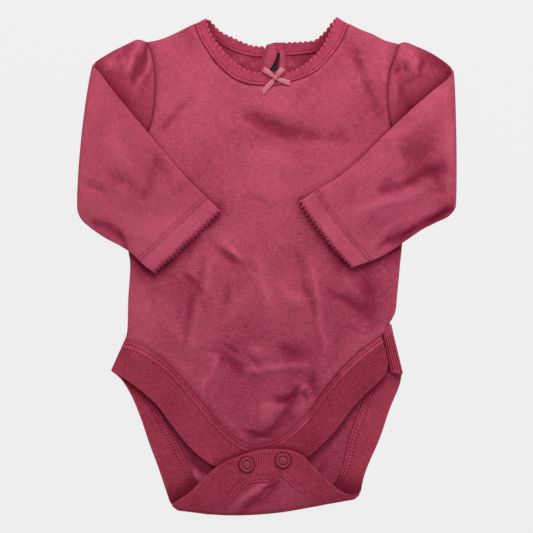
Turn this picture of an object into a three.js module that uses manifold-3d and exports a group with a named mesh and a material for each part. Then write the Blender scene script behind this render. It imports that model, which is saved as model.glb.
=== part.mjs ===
// A long-sleeved baby bodysuit in cotton jersey, laid on its back with both sleeves folded over the front.
// It has a ribbed neck band and ribbed leg bands, scalloped cuffs, a ribbon bow, a keyhole at the back neck
// and a crotch flap that folds up over the front and closes with two press studs.
// Millimetres. X runs across the garment, Y from crotch to neck, Z up from the table it lies on.
// Left and right are as seen from above, with the neck at the top.
import * as THREE from "three";
import Module from "manifold-3d";
import { mergeVertices } from "three/addons/utils/BufferGeometryUtils.js";

const CLOTH = 1.0; // jersey wall
const BAND = 1.6; // rib folded double
const SEAM = 0.35; // gap between pieces that are sewn to each other
const RIB_PITCH = 3.4; // one raised wale in two of the real 1.7 mm ones
const RIB_RISE = 0.3;
const SCALLOP_PITCH = 4.0;
const SCALLOP_DEEP = 1.3;
const FRONT_LOW = CLOTH + SEAM; // the front's underside where it is sewn to the back
const BAND_CLEAR = 0.6; // the front rises this much more, to lie clear of the back's leg bands
const FRONT_PUFF = 1.6; // soft hollow between the two panels
const LEG_BAND_LOW = BAND + 0.35; // lowest underside of the front leg band
const LEG_EDGE_LOW = 2.6; // underside of its free edge, away from the crotch
const FLAP_TOP = 7.4; // upper face of the folded crotch flap
const FLAP_FOLD = FLAP_TOP / 2; // outer radius of the crotch fold
const HIP_FOLD = 2.1; // outer radius where the back leg band turns round the right hip
const NECK_FOLD = 1.95; // outer radius of the neck band's fold at each shoulder
const SLEEVE_HALF = 1.6; // half the height of a flattened sleeve
const SLEEVE_FOLD = 3.6; // outer radius of the fold at each elbow
const SLEEVE_CLEAR = 0.8; // forearm over what it lies on
const CUFF_OPEN = 1.1; // how much further the cuffs' layers part

// Outlines, [x, y], as the garment lies.
const LEFT_ARMHOLE = [[-91.5, 171], [-87.5, 159.5], [-85, 146], [-85.5, 124.5], [-90, 104.5], [-100.5, 90]];
const LEFT_SIDE = [[-100.5, 90], [-104, 69], [-105.5, 14], [-104, 2.5], [-105.5, -25], [-106.5, -51], [-108.5, -57]];
const RIGHT_ARMHOLE = [[101, 169.5], [98, 160], [94, 149], [92.5, 130], [95.5, 106], [103, 90]];
const RIGHT_SIDE = [[103, 90], [104.5, 69], [103.5, 18], [102, 2.5], [99.5, -23.5], [98, -35.5], [93, -44.5]];
const LEFT_SHOULDER = [[-91.5, 171], [-85, 172], [-76, 174.5], [-65, 179], [-54.5, 184]];
const RIGHT_SHOULDER = [[62.5, 184], [71, 180], [81, 176], [92.5, 170.5], [101, 169.5]];
const FRONT_NECK = [[-54.5, 184], [-52.5, 179], [-49, 171.5], [-38.5, 156], [-25, 143.5], [-15, 139.5], [3, 138],
  [18, 140.5], [38, 149], [52.5, 165], [57.5, 173.5], [62.5, 184]];
const FRONT_NECK_EDGE = [[-45.5, 188.5], [-44, 181], [-36.5, 168.5], [-25, 156], [-13, 148.5], [4, 147],
  [19.5, 148.5], [29.5, 154], [42, 166.5], [50, 183], [53, 189]];
const BACK_NECK_LEFT = [[-1, 160], [-11.5, 160.5], [-27, 165], [-41.5, 174.5], [-54.5, 184]];
const BACK_NECK_LEFT_EDGE = [[-1.5, 167.5], [-11.5, 168.5], [-26, 174.5], [-35.5, 179.5], [-45.5, 188.5]];
const BACK_NECK_RIGHT = [[62.5, 184], [56.5, 175], [39, 164], [31.5, 162.5], [13.5, 161]];
const BACK_NECK_RIGHT_EDGE = [[53, 189], [45, 179.5], [37, 172.5], [31.5, 171.5], [13.5, 170.5]];
const FRONT_LEG = [[-108.5, -57], [-98, -59.5], [-87.5, -65.5], [-77, -73], [-64, -86], [-52, -100.5], [-39, -116.5],
  [-27, -128], [-14, -136], [-2.5, -135.5], [5, -133.5], [14.5, -128], [30, -114], [40.5, -99.5], [52.5, -84],
  [60, -74.5], [70.5, -66.5], [81, -57.5], [87.5, -53]];
const FRONT_LEG_EDGE = [[-118.5, -78], [-103, -89], [-84.5, -104.5], [-71.5, -121.5], [-56, -140], [-41.5, -151],
  [-20, -160.5], [-3.5, -162], [14, -160], [33.5, -143.5], [49.5, -128], [68, -104.5], [89, -84], [94.5, -76]];
const BACK_LEG_LEFT = [[-108.5, -57], [-100, -75], [-90, -94], [-79.5, -114], [-69, -132], [-58.5, -153], [-44, -185]];
const BACK_LEG_LEFT_EDGE = [[-118, -78], [-112.5, -83], [-99, -102], [-92.5, -117.5], [-82, -152], [-69.5, -182]];
const BACK_LEG_RIGHT = [[37.5, -179], [48.5, -170], [56, -158.5], [60, -145], [62.5, -133], [67, -120], [76, -97],
  [88.5, -62], [93, -44.5]];
const BACK_LEG_RIGHT_EDGE = [[70, -170.5], [77, -153], [86.5, -132], [93.5, -108.5], [102, -84], [102.7, -79]];
const FLAP_SEAM = [[-44, -185], [-28.5, -179.5], [-19.5, -170], [-11.5, -165], [1.5, -163.5], [10.5, -159.5],
  [14.5, -162.5], [23.5, -170], [37.5, -179]];
const FLAP_EDGE = [[-67.5, -181.5], [-58.5, -171.5], [-41.5, -155], [-32.5, -149], [-19.5, -143.5], [-6, -139.5],
  [10.5, -139], [21, -140.5], [28.5, -144.5], [35.5, -152], [52.5, -167.5], [66, -172]];
const CROTCH_FOLD = [[-44, -185], [-28, -185.8], [-10, -185.4], [12, -183.4], [37.5, -179]];
const HIP_FRONT_END = [[88.6, -52.4], [95.6, -75.6]];

// Soft creases pressed into a panel: a line from x0, y0 to x1, y1 that bows sideways, its half width and its rise.
const crease = ([x0, y0, x1, y1, bow, wide, rise]) => ({ x0, y0, x1, y1, bow, wide, rise });
const FRONT_CREASES = [
  [-13, 114, 56, 98.5, -5, 6, -1.5], [-3.5, 108, 14, 101.5, -1, 3.5, -0.8], [61.5, 173, 84.5, 113, 2, 4, -1.1],
  [88.5, 166, 91, 142, 0, 4, 0.6], [-60, 126.5, -80, 106.5, 0, 3, -0.8], [35.5, 142, 17.5, 123, 0, 3, -0.5],
  [-41.5, 17, -21.5, 0.5, 0, 3.5, -1.1], [-34, 18.5, -18, 3.5, 0, 3, 0.8], [-47.5, 3.5, -62.5, -69.5, -2, 4, -1.2],
  [-42, 3.5, -55.5, -63.5, -2, 4, 0.8], [-61, -5.5, -53.5, -18, 0, 3, -0.8], [-29.5, -10.5, -34, -36, 0, 4, -0.7],
  [-8, 3.5, 1, -25.5, 0, 4.5, 0.9], [10.5, -14, 24, -27.5, 0, 4, 0.9], [24, 11, 37.5, -37.5, -3, 4, -1.3],
  [31.5, 3.5, 42, -77, 4, 4.5, 1.4], [48.5, -18, 69.5, -34.5, 0, 3.5, -1.3], [59.5, -7, 72.5, -24, 0, 4, 0.7],
  [75.5, -1, 78.5, -44.5, 0, 6, -1.2], [-39, -69.5, -49, -97, 0, 3, 0.9], [-34, -67.5, -23, -80, 0, 6, -1.3],
  [-15.5, -80, 30, -77, 1, 3.5, 0.9], [-12, -66, 0, -64, 0, 7, 0.8], [17, -66, 28, -64, 0, 8, -0.8],
  [7, -101.5, 24, -94, -3, 3, -1.5], [25.5, -89.5, 33, -95.5, 0, 3, 1.2], [35.5, -84.5, 37, -98, 0, 3, -1.1],
  [18.5, -101.5, -12.5, -130, 6, 4, -1.4], [-6, -112, 5, -109, 0, 8, 1.1], [24, -107, 30, -105, 0, 5, 0.8],
].map(crease);
const FLAP_CREASES = [[-27, -184, -1, -166, 0, 3, 0.8], [-19, -187, 9, -165, 0, 2.6, -1.1]].map(crease);
const LEFT_FOREARM_CREASES = [
  [-81, 82, -94.5, 54, 0, 5, -1.2], [-94.5, 54, -121, 72, 0, 5, -0.9], [-67.5, 56.5, -60.5, 62.5, 0, 3.5, -0.8],
].map(crease);
const RIGHT_FOREARM_CREASES = [
  [96, 57, 117, 66, 0, 4, -1.5], [71, 42, 121, 60.5, 0, 3.5, 0.9], [123, 72, 129, 69, 0, 6, -1.0],
  [102, 88, 111.5, 78, 0, 3, -0.8], [88.5, 93, 91.5, 82.5, 0, 4, -0.8], [73, 23, 80, 21, 0, 6, -0.8],
  [81, 17, 108.5, 37, 2, 4, 0.7],
].map(crease);
const LEFT_HEAD_CREASES = [
  [-92, 168, -98, 147, 0, 2.8, -1.3], [-105.5, 167, -114, 156, 0, 3, -1.1], [-98.5, 169, -108.5, 148, 0, 3.5, 1.4],
  [-114, 157, -123, 149, 0, 5, 0.8],
].map(crease);
const RIGHT_HEAD_CREASES = [
  [105, 157, 108.5, 147, 0, 3, -1.3], [107, 163, 115, 156, 0, 7, 1.7], [111, 146, 116, 140, 0, 4, -1.2],
  [105, 127, 112, 121, 0, 8, -0.8], [97, 152, 99, 146, 0, 3, 0.8],
].map(crease);

// Sleeve sections from armhole to cuff, [top edge x, y, lower edge x, y, bow], each a flattened ring between two edges.
const LEFT_SLEEVE = {
  upper: [[-91.9, 171.4, -101, 88.9, 11, LEFT_ARMHOLE], [-98, 173, -107, 80, 9], [-107.5, 169, -116, 66, 5],
    [-118, 163.8, -126, 54.5, 2], [-127.5, 157.5, -134, 46, 1]],
  fold: [-132.5, 153.5, -144.7, 45, -1.5],
  fore: [[-126, 146, -137.5, 36.5, -1], [-117, 134, -131, 28, 0], [-105.5, 120, -121.5, 22, 0], [-93, 105, -111.5, 16.5, 0],
    [-79.5, 89, -103, 11, 0], [-65, 72, -95, 6, 0], [-54, 60.5, -90, 3, 1], [-44.5, 51.5, -86, 0.5, 1.5],
    [-35.5, 44, -82.5, -1, 2]],
  creases: { head: LEFT_HEAD_CREASES, fore: LEFT_FOREARM_CREASES },
};
const RIGHT_SLEEVE = {
  upper: [[101.4, 169.9, 103.4, 88.9, -10, RIGHT_ARMHOLE], [105.5, 171, 109, 80, -8], [114, 168, 118, 67, -5],
    [126, 162.5, 129.5, 56, -2], [136.5, 155.5, 137.5, 47, -1]],
  fold: [143.3, 149.5, 144.7, 43.5, 0.5],
  fore: [[137.5, 142.5, 138.5, 36.5, 1], [126.5, 133.5, 129.5, 31.5, 0], [113.5, 122.5, 119.5, 26, 0],
    [100.5, 110.5, 109.5, 20, 0], [86, 96.5, 100, 14.5, 0], [71, 81.5, 90.5, 9.5, 0], [54, 67.5, 81.5, 5, -1.5],
    [39, 58.5, 73, 2, -2.5], [26, 50, 65.5, -0.5, -3.5]],
  creases: { head: RIGHT_HEAD_CREASES, fore: RIGHT_FOREARM_CREASES },
};

const v = (x, y, z = 0) => new THREE.Vector3(x, y, z);
const mix = (a, b, t) => a + (b - a) * t;
const ease = (low, high, x) => THREE.MathUtils.smoothstep(x, low, high);

// The same number of evenly spaced points along a smooth line through the rows.
function spaced(rows, steps) {
  const line = new THREE.CatmullRomCurve3(rows.map(([x, y]) => v(x, y)), false, "centripetal");
  return line.getSpacedPoints(steps);
}
const joined = (...runs) => runs.flatMap((run, i) => (i ? run.slice(1) : run));

function segmentDistance(x, y, a, b) {
  const dx = b.x - a.x;
  const dy = b.y - a.y;
  const t = THREE.MathUtils.clamp(((x - a.x) * dx + (y - a.y) * dy) / (dx * dx + dy * dy || 1), 0, 1);
  return Math.hypot(x - a.x - t * dx, y - a.y - t * dy);
}
const lineDistance = (x, y, line) =>
  Math.min(...line.slice(1).map((point, i) => segmentDistance(x, y, line[i], point)));

// Distance to a closed outline, positive inside it.
function depthInside(x, y, outline) {
  let inside = false;
  let near = Infinity;
  outline.forEach((a, i) => {
    const b = outline[(i + 1) % outline.length];
    near = Math.min(near, segmentDistance(x, y, a, b));
    if (a.y > y !== b.y > y && x < mix(a.x, b.x, (y - a.y) / (b.y - a.y))) inside = !inside;
  });
  return inside ? near : -near;
}

function creased(x, y, rows) {
  return rows.reduce((sum, c) => {
    const dx = c.x1 - c.x0;
    const dy = c.y1 - c.y0;
    const length = Math.hypot(dx, dy);
    const along = ((x - c.x0) * dx + (y - c.y0) * dy) / (length * length);
    const reach = c.wide / length;
    const inRange = THREE.MathUtils.clamp(along, 0, 1);
    const across = ((y - c.y0) * dx - (x - c.x0) * dy) / length - c.bow * 4 * inRange * (1 - inRange);
    const ends = Math.exp(-(((along - inRange) / reach) ** 2));
    return sum + c.rise * Math.exp(-((across / c.wide) ** 2)) * ends;
  }, 0);
}

// The two closed edges of the body, from the neck down to the hip.
const LEFT_EDGE = joined(spaced(LEFT_SHOULDER, 6).reverse(), spaced(LEFT_ARMHOLE, 12), spaced(LEFT_SIDE, 16));
const RIGHT_EDGE = joined(spaced(RIGHT_SHOULDER, 6), spaced(RIGHT_ARMHOLE, 12), spaced(RIGHT_SIDE, 16));
const BODY_OUTLINE = [
  ...spaced(FRONT_NECK, 16), ...RIGHT_EDGE, ...spaced(FRONT_LEG, 24).reverse(), ...LEFT_EDGE.slice().reverse(),
];

// Underside of the front panel: sewn down at its closed edges, softly hollow between them, flat at the crotch.
function frontUnder(x, y) {
  const edge = Math.min(lineDistance(x, y, LEFT_EDGE), lineDistance(x, y, RIGHT_EDGE));
  const crotch = mix(0.15, 1, ease(-140, -70, y));
  const soft = BAND_CLEAR * (1 - Math.exp(-edge / 3)) + FRONT_PUFF * crotch * (1 - Math.exp(-edge / 14));
  const folds = creased(x, y, FRONT_CREASES) * (1 - Math.exp(-edge / 8)) * mix(0.5, 1, crotch);
  return FRONT_LOW + Math.max(0, soft + folds);
}

// A closed wall between two grids of points, rows by columns, joined round their rim.
function wallBetween(upper, lower) {
  const rows = upper.length;
  const columns = upper[0].length;
  const points = [...upper.flat(), ...lower.flat()];
  const faces = [];
  const top = (i, j) => i * columns + j;
  const under = (i, j) => rows * columns + i * columns + j;
  const quad = (a, b, c, d) => faces.push(a, b, c, a, c, d);
  for (let i = 0; i + 1 < rows; i++) {
    for (let j = 0; j + 1 < columns; j++) {
      quad(top(i, j), top(i, j + 1), top(i + 1, j + 1), top(i + 1, j));
      quad(under(i, j), under(i + 1, j), under(i + 1, j + 1), under(i, j + 1));
    }
    quad(top(i, 0), top(i + 1, 0), under(i + 1, 0), under(i, 0));
    quad(top(i + 1, columns - 1), top(i, columns - 1), under(i, columns - 1), under(i + 1, columns - 1));
  }
  for (let j = 0; j + 1 < columns; j++) {
    quad(top(0, j + 1), top(0, j), under(0, j), under(0, j + 1));
    quad(top(rows - 1, j), top(rows - 1, j + 1), under(rows - 1, j + 1), under(rows - 1, j));
  }
  return solid(points, faces);
}

// A tube wall: closed rings of outer points over rings of inner points, open at both ends.
function tubeWall(outer, inner) {
  const rings = outer.length;
  const around = outer[0].length;
  const points = [...outer.flat(), ...inner.flat()];
  const faces = [];
  const out = (i, j) => i * around + (j % around);
  const into = (i, j) => rings * around + i * around + (j % around);
  const quad = (a, b, c, d) => faces.push(a, b, c, a, c, d);
  for (let i = 0; i + 1 < rings; i++)
    for (let j = 0; j < around; j++) {
      quad(out(i, j), out(i, j + 1), out(i + 1, j + 1), out(i + 1, j));
      quad(into(i, j), into(i + 1, j), into(i + 1, j + 1), into(i, j + 1));
    }
  for (let j = 0; j < around; j++) {
    quad(out(0, j + 1), out(0, j), into(0, j), into(0, j + 1));
    quad(out(rings - 1, j), out(rings - 1, j + 1), into(rings - 1, j + 1), into(rings - 1, j));
  }
  return solid(points, faces);
}

function signedVolume(points, faces) {
  let sum = 0;
  for (let i = 0; i < faces.length; i += 3)
    sum += points[faces[i]].dot(points[faces[i + 1]].clone().cross(points[faces[i + 2]]));
  return sum / 6;
}

function solid(points, faces) {
  if (signedVolume(points, faces) < 0) faces.reverse();
  const geometry = new THREE.BufferGeometry();
  geometry.setAttribute("position", new THREE.Float32BufferAttribute(points.flatMap((p) => [p.x, p.y, p.z]), 3));
  geometry.setIndex(faces);
  geometry.computeVertexNormals();
  return geometry;
}

const wasm = await Module();
wasm.setup();

function cutAway(geometry, tool) {
  const solidOf = (shape) => {
    const bare = shape.clone();
    ["normal", "uv"].forEach((name) => bare.deleteAttribute(name));
    const merged = mergeVertices(bare, 1e-4);
    return new wasm.Manifold(
      new wasm.Mesh({
        numProp: 3,
        vertProperties: merged.attributes.position.array,
        triVerts: new Uint32Array(merged.index.array),
      }),
    );
  };
  const mesh = solidOf(geometry).subtract(solidOf(tool)).getMesh();
  const left = new THREE.BufferGeometry();
  left.setAttribute("position", new THREE.BufferAttribute(mesh.vertProperties, 3));
  left.setIndex(new THREE.BufferAttribute(mesh.triVerts, 1));
  left.computeVertexNormals();
  return left;
}

// Fills the area between four border lines, the top and bottom in columns and the sides in rows.
function filled(top, bottom, left, right) {
  const columns = top.length - 1;
  return left.map((start, i) => {
    const t = i / (left.length - 1);
    return top.map((above, j) => {
      const s = j / columns;
      const place = (axis) =>
        mix(above[axis], bottom[j][axis], t) + mix(start[axis], right[i][axis], s) -
        mix(mix(top[0][axis], top[columns][axis], s), mix(bottom[0][axis], bottom[columns][axis], s), t);
      return v(place("x"), place("y"));
    });
  });
}

// Front panel: one layer of jersey, creased, over the back.
const SHOULDER_STEPS = 5;
const NECK_STEPS = 22;
const ARMHOLE_ROWS = 10;
const SIDE_ROWS = 22;

function frontPanel() {
  const top = joined(spaced(LEFT_SHOULDER, SHOULDER_STEPS), spaced(FRONT_NECK, NECK_STEPS),
    spaced(RIGHT_SHOULDER, SHOULDER_STEPS));
  const bottom = spaced(FRONT_LEG, top.length - 1);
  const hip = [RIGHT_SIDE.at(-1), FRONT_LEG.at(-1)];
  const left = joined(spaced(LEFT_ARMHOLE, ARMHOLE_ROWS), spaced(LEFT_SIDE, SIDE_ROWS));
  const right = joined(spaced(RIGHT_ARMHOLE, ARMHOLE_ROWS), spaced(RIGHT_SIDE, SIDE_ROWS - 1), spaced(hip, 1));
  const plan = filled(top, bottom, left, right);
  const raised = (add) => plan.map((row) => row.map((p) => v(p.x, p.y, frontUnder(p.x, p.y) + add)));
  return wallBetween(raised(CLOTH), raised(0));
}

// Back panel: flat on the table, turned up at the crotch fold into the flap that closes over the front.
const FOLD_STEPS = 6;

function backPanel() {
  const shoulder = 2;
  const half = 8;
  const backNeck = joined(spaced(BACK_NECK_LEFT, half).reverse(), spaced([BACK_NECK_LEFT[0], BACK_NECK_RIGHT.at(-1)], 2),
    spaced(BACK_NECK_RIGHT, half).reverse());
  const top = joined(spaced(LEFT_SHOULDER, shoulder), backNeck, spaced(RIGHT_SHOULDER, shoulder));
  const foldLine = spaced(CROTCH_FOLD, top.length - 1);
  const axis = foldLine.map((p) => v(p.x, p.y));
  const armRows = 9;
  const legRows = 13;
  const left = joined(spaced(LEFT_ARMHOLE, armRows), spaced(LEFT_SIDE, 6), spaced(BACK_LEG_LEFT, legRows));
  const right = joined(spaced(RIGHT_ARMHOLE, armRows), spaced(RIGHT_SIDE, 6),
    spaced(BACK_LEG_RIGHT, legRows).reverse());
  const inside = filled(top, axis, left, right).map((row) => row.map((p) => v(p.x, p.y, CLOTH)));
  const outside = inside.map((row) => row.map((p) => v(p.x, p.y, 0)));
  for (let k = 1; k < FOLD_STEPS; k++) {
    const turn = (Math.PI * k) / FOLD_STEPS;
    const ring = (r) => axis.map((p) => v(p.x, p.y - r * Math.sin(turn), FLAP_FOLD - r * Math.cos(turn)));
    inside.push(ring(FLAP_FOLD - CLOTH));
    outside.push(ring(FLAP_FOLD));
  }
  const flapEnd = spaced(FLAP_SEAM, axis.length + 3).slice(2, -2);
  const flapRows = 5;
  for (let k = 0; k <= flapRows; k++) {
    const t = k / flapRows;
    const row = axis.map((p, j) => p.clone().lerp(flapEnd[j], t));
    const lift = (p) => creased(p.x, p.y, FLAP_CREASES) * t * (1 - t) * 3;
    inside.push(row.map((p) => v(p.x, p.y, FLAP_TOP - CLOTH + lift(p))));
    outside.push(row.map((p) => v(p.x, p.y, FLAP_TOP + lift(p))));
  }
  return cutAway(wallBetween(inside, outside), keyholeTool());
}

// The keyhole: a drop-shaped slit below the back neck seam.
const KEYHOLE = { top: [9, 164], foot: [5.5, 151.5], radius: 2.6 };

function keyholeTool() {
  const { top, foot, radius } = KEYHOLE;
  const shape = new THREE.Shape();
  shape.moveTo(top[0] - 0.5, top[1]);
  shape.quadraticCurveTo(foot[0] - radius, foot[1] + 5, foot[0] - radius, foot[1]);
  shape.absarc(foot[0], foot[1], radius, Math.PI, 2 * Math.PI, false);
  shape.quadraticCurveTo(top[0], foot[1] + 6, top[0] + 0.5, top[1]);
  const tool = new THREE.ExtrudeGeometry(shape, { depth: 4, bevelEnabled: false, curveSegments: 6 });
  return tool.translate(0, 0, -1);
}

// A band is a strip between a seam line and a free edge. Each station has the two upper and two lower corners.
function bandWall(stations) {
  return wallBetween(stations.map((s) => [s.seamUp, s.edgeUp]), stations.map((s) => [s.seamLow, s.edgeLow]));
}

function flatStation(seam, edge, seamLow, edgeLow, thick) {
  return {
    seamUp: v(seam.x, seam.y, seamLow + thick), edgeUp: v(edge.x, edge.y, edgeLow + thick),
    seamLow: v(seam.x, seam.y, seamLow), edgeLow: v(edge.x, edge.y, edgeLow),
  };
}

// Stations round a fold whose outermost line lies radius outside the seam and edge points.
// The "up" corners are those of the inside, which faces up before the fold and down after it.
function foldStations(seam, edge, outward, radius, thick, steps, reverse = false) {
  const made = [];
  for (let k = 1; k < steps; k++) {
    const turn = (Math.PI * (reverse ? steps - k : k)) / steps;
    const corner = (p, r) => p.clone().addScaledVector(outward, r * Math.sin(turn)).setZ(radius - r * Math.cos(turn));
    made.push({
      seamUp: corner(seam, radius - thick), edgeUp: corner(edge, radius - thick),
      seamLow: corner(seam, radius), edgeLow: corner(edge, radius),
    });
  }
  return made;
}

// After a fold the inside faces down, so the corners change places.
const turnedOver = ({ seamUp, edgeUp, seamLow, edgeLow }) =>
  ({ seamUp: seamLow, edgeUp: edgeLow, seamLow: seamUp, edgeLow: edgeUp });

// Matching points on both lines of a band, one for each rib crest and trough, the seam ones set clear of the panel.
function bandPairs(seamRows, edgeRows, pitch) {
  const rough = spaced(seamRows, 60).map((p, i) => p.clone().lerp(spaced(edgeRows, 60)[i], 0.5));
  const length = rough.slice(1).reduce((sum, p, i) => sum + p.distanceTo(rough[i]), 0);
  const steps = 2 * Math.max(1, Math.round(length / pitch));
  const edge = spaced(edgeRows, steps);
  return spaced(seamRows, steps).map((seam, i) => {
    const clear = edge[i].clone().sub(seam).setLength(SEAM);
    return [seam.clone().add(clear), edge[i]];
  });
}

// Front leg band: from the left hip round the crotch to the right hip, under the flap.
function frontLegBand() {
  return bandWall(bandPairs(FRONT_LEG, FRONT_LEG_EDGE, RIB_PITCH).map(([inner, outer], i) => {
    const low = Math.max(LEG_BAND_LOW, frontUnder(inner.x, inner.y));
    const crotch = ease(45, 20, Math.abs(outer.x + 2)) * ease(-120, -150, outer.y);
    const rib = i % 2 ? RIB_RISE * (1 - crotch) : 0;
    return flatStation(inner, outer, low, mix(LEG_EDGE_LOW, LEG_BAND_LOW + 0.1, crotch), BAND + rib);
  }));
}

// Back leg band: down the left leg, round the crotch fold, round the flap, down again and up the right leg,
// where it turns round the hip to meet the front band.
function backLegBand() {
  const ribbed = (pairs, low) => pairs.map(([inner, outer], i) =>
    flatStation(inner, outer, low, low, BAND + (i % 2 ? RIB_RISE : 0)));
  const down = bandPairs(BACK_LEG_LEFT, BACK_LEG_LEFT_EDGE, RIB_PITCH);
  const flap = bandPairs(FLAP_SEAM, FLAP_EDGE, RIB_PITCH);
  const up = bandPairs(BACK_LEG_RIGHT, BACK_LEG_RIGHT_EDGE, RIB_PITCH);
  const [hipSeam, hipEdge] = up.at(-1);
  const hipOut = v(hipSeam.y - hipEdge.y, hipEdge.x - hipSeam.x).normalize();
  const under = v(0, -1);
  const hipEnd = HIP_FRONT_END.map(([x, y]) => v(x, y));
  const bridge = (from, to, reverse) => foldStations(from[0].clone().lerp(to[0], 0.5), from[1].clone().lerp(to[1], 0.5),
    under, FLAP_FOLD, BAND, FOLD_STEPS, reverse);
  const onTop = (pairs) => ribbed(pairs, FLAP_TOP - BAND).map(turnedOver);
  const front = flatStation(hipEnd[0], hipEnd[1], 2 * HIP_FOLD - BAND, 2 * HIP_FOLD - BAND, BAND);
  return bandWall([
    ...ribbed(down, 0), ...bridge(down.at(-1), flap[0], false), ...onTop(flap),
    ...bridge(flap.at(-1), up[0], true), ...ribbed(up, 0),
    ...foldStations(hipSeam, hipEdge, hipOut, HIP_FOLD, BAND, FOLD_STEPS), turnedOver(front),
  ]);
}

// Neck band: one strip with a scalloped free edge, from the left of the back opening round to its right.
function neckBand() {
  const scalloped = (pairs) => pairs.map(([inner, outer], i) => {
    const out = outer.clone().sub(inner).setLength(i % 2 ? SCALLOP_DEEP / 2 : -SCALLOP_DEEP / 2);
    return [inner, outer.clone().add(out)];
  });
  const left = scalloped(bandPairs(BACK_NECK_LEFT, BACK_NECK_LEFT_EDGE, SCALLOP_PITCH));
  const front = scalloped(bandPairs(FRONT_NECK, FRONT_NECK_EDGE, SCALLOP_PITCH));
  const right = scalloped(bandPairs(BACK_NECK_RIGHT, BACK_NECK_RIGHT_EDGE, SCALLOP_PITCH));
  const shoulderFold = ([inner, outer], side, reverse) => {
    const out = v(inner.y - outer.y, outer.x - inner.x).normalize().multiplyScalar(side);
    const axis = [inner, outer].map((p) => p.clone().addScaledVector(out, -NECK_FOLD));
    return foldStations(axis[0], axis[1], out, NECK_FOLD, BAND, 4, reverse);
  };
  const low = 2 * NECK_FOLD - BAND;
  const flat = (pairs) => pairs.map(([inner, outer]) => flatStation(inner, outer, 0, 0, BAND));
  const over = front.map(([inner, outer], i) => {
    const t = ease(0, 0.2, Math.min(i, front.length - 1 - i) / front.length);
    const seamLow = mix(low, Math.max(low, frontUnder(inner.x, inner.y)), t);
    return turnedOver(flatStation(inner, outer, seamLow, mix(low, low + 0.3, t), BAND));
  });
  return bandWall([
    ...flat(left.slice(0, -1)), ...shoulderFold(front[0], 1, false), ...over.slice(1, -1),
    ...shoulderFold(front.at(-1), -1, true), ...flat(right.slice(1)),
  ]);
}

// Sleeves: a flattened tube from the armhole out to the elbow fold, then back over the body to the cuff.
const RING_HALF = 10; // points along each layer of a sleeve's ring
const EDGE_ROUND = 0.45;

// [share across, share of the height] round a flattened ring: along the outer layer, then back along the inner one.
const RING = Array.from({ length: 2 * RING_HALF }, (_, k) => {
  const angle = (Math.PI * k) / RING_HALF;
  const side = Math.sin(angle);
  return { across: (1 - Math.cos(angle)) / 2, height: -Math.sign(side) * Math.abs(side) ** EDGE_ROUND };
});

function sectionPoint([ax, ay, bx, by, bow, curve], across) {
  if (curve) {
    const p = new THREE.CatmullRomCurve3(curve.map(([x, y]) => v(x, y)), false, "centripetal").getPointAt(across);
    return p.add(v(Math.sign(ax) * 0.6, 0));
  }
  return v(mix(ax, bx, across) + bow * 4 * across * (1 - across), mix(ay, by, across));
}

// Height that a folded forearm lies over: the front panel, the upper sleeve, or the table past both.
function restHeight(x, y, sleeve) {
  const body = depthInside(x, y, BODY_OUTLINE);
  const front = body > 0 ? frontUnder(x, y) + CLOTH : (FRONT_LOW + CLOTH) * Math.exp(body / 6);
  const arm = depthInside(x, y, sleeve.outline);
  const upper = arm > 0 ? 2 * SLEEVE_HALF : 2 * SLEEVE_HALF * Math.exp(arm / 5);
  return Math.max(front, upper) + Math.max(0, 0.6 - Math.abs(front - upper)) / 2;
}

function sleeveRings(sleeve) {
  const { upper, fold, fore, creases } = sleeve;
  const edges = [...upper, fold];
  sleeve.outline = [...edges.map(([x, y]) => v(x, y)), ...edges.map(([, , x, y]) => v(x, y)).reverse()];
  const outer = [];
  const inner = [];
  const addRing = (place) => {
    outer.push(RING.map(({ across, height }) => place(across, height, 0)));
    inner.push(RING.map(({ across, height }) => place(mix(0.02, 0.98, across), height, CLOTH)));
  };
  const inset = (height, thick, half) => Math.sign(height) * Math.max(0.02, Math.abs(height) * half - thick);
  upper.forEach((row) => addRing((across, height, thick) => {
    const p = sectionPoint(row, across);
    const puff = height > 0 ? creased(p.x, p.y, creases.head) * Math.abs(height) : 0;
    return p.setZ(SLEEVE_HALF + inset(height, thick, SLEEVE_HALF + puff));
  }));
  const outward = v(Math.sign(fold[0]), 0);
  for (let k = 1; k < FOLD_STEPS; k++) {
    const turn = (Math.PI * k) / FOLD_STEPS;
    addRing((across, height, thick) => {
      const r = SLEEVE_FOLD - SLEEVE_HALF - inset(height, thick, SLEEVE_HALF);
      const p = sectionPoint(fold, across).addScaledVector(outward, r * Math.sin(turn) - SLEEVE_FOLD);
      return p.setZ(SLEEVE_FOLD - r * Math.cos(turn));
    });
  }
  fore.forEach((row, i) => addRing((across, height, thick) => {
    const p = sectionPoint(row, across);
    const open = SLEEVE_HALF + (CUFF_OPEN / 2) * ease(0.6, 1, i / (fore.length - 1));
    const puff = height < 0 ? creased(p.x, p.y, creases.fore) * Math.abs(height) : 0;
    const middle = restHeight(p.x, p.y, sleeve) + SLEEVE_CLEAR + open;
    return p.setZ(middle - inset(height, thick, open + puff));
  }));
  return { outer, inner };
}

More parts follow.
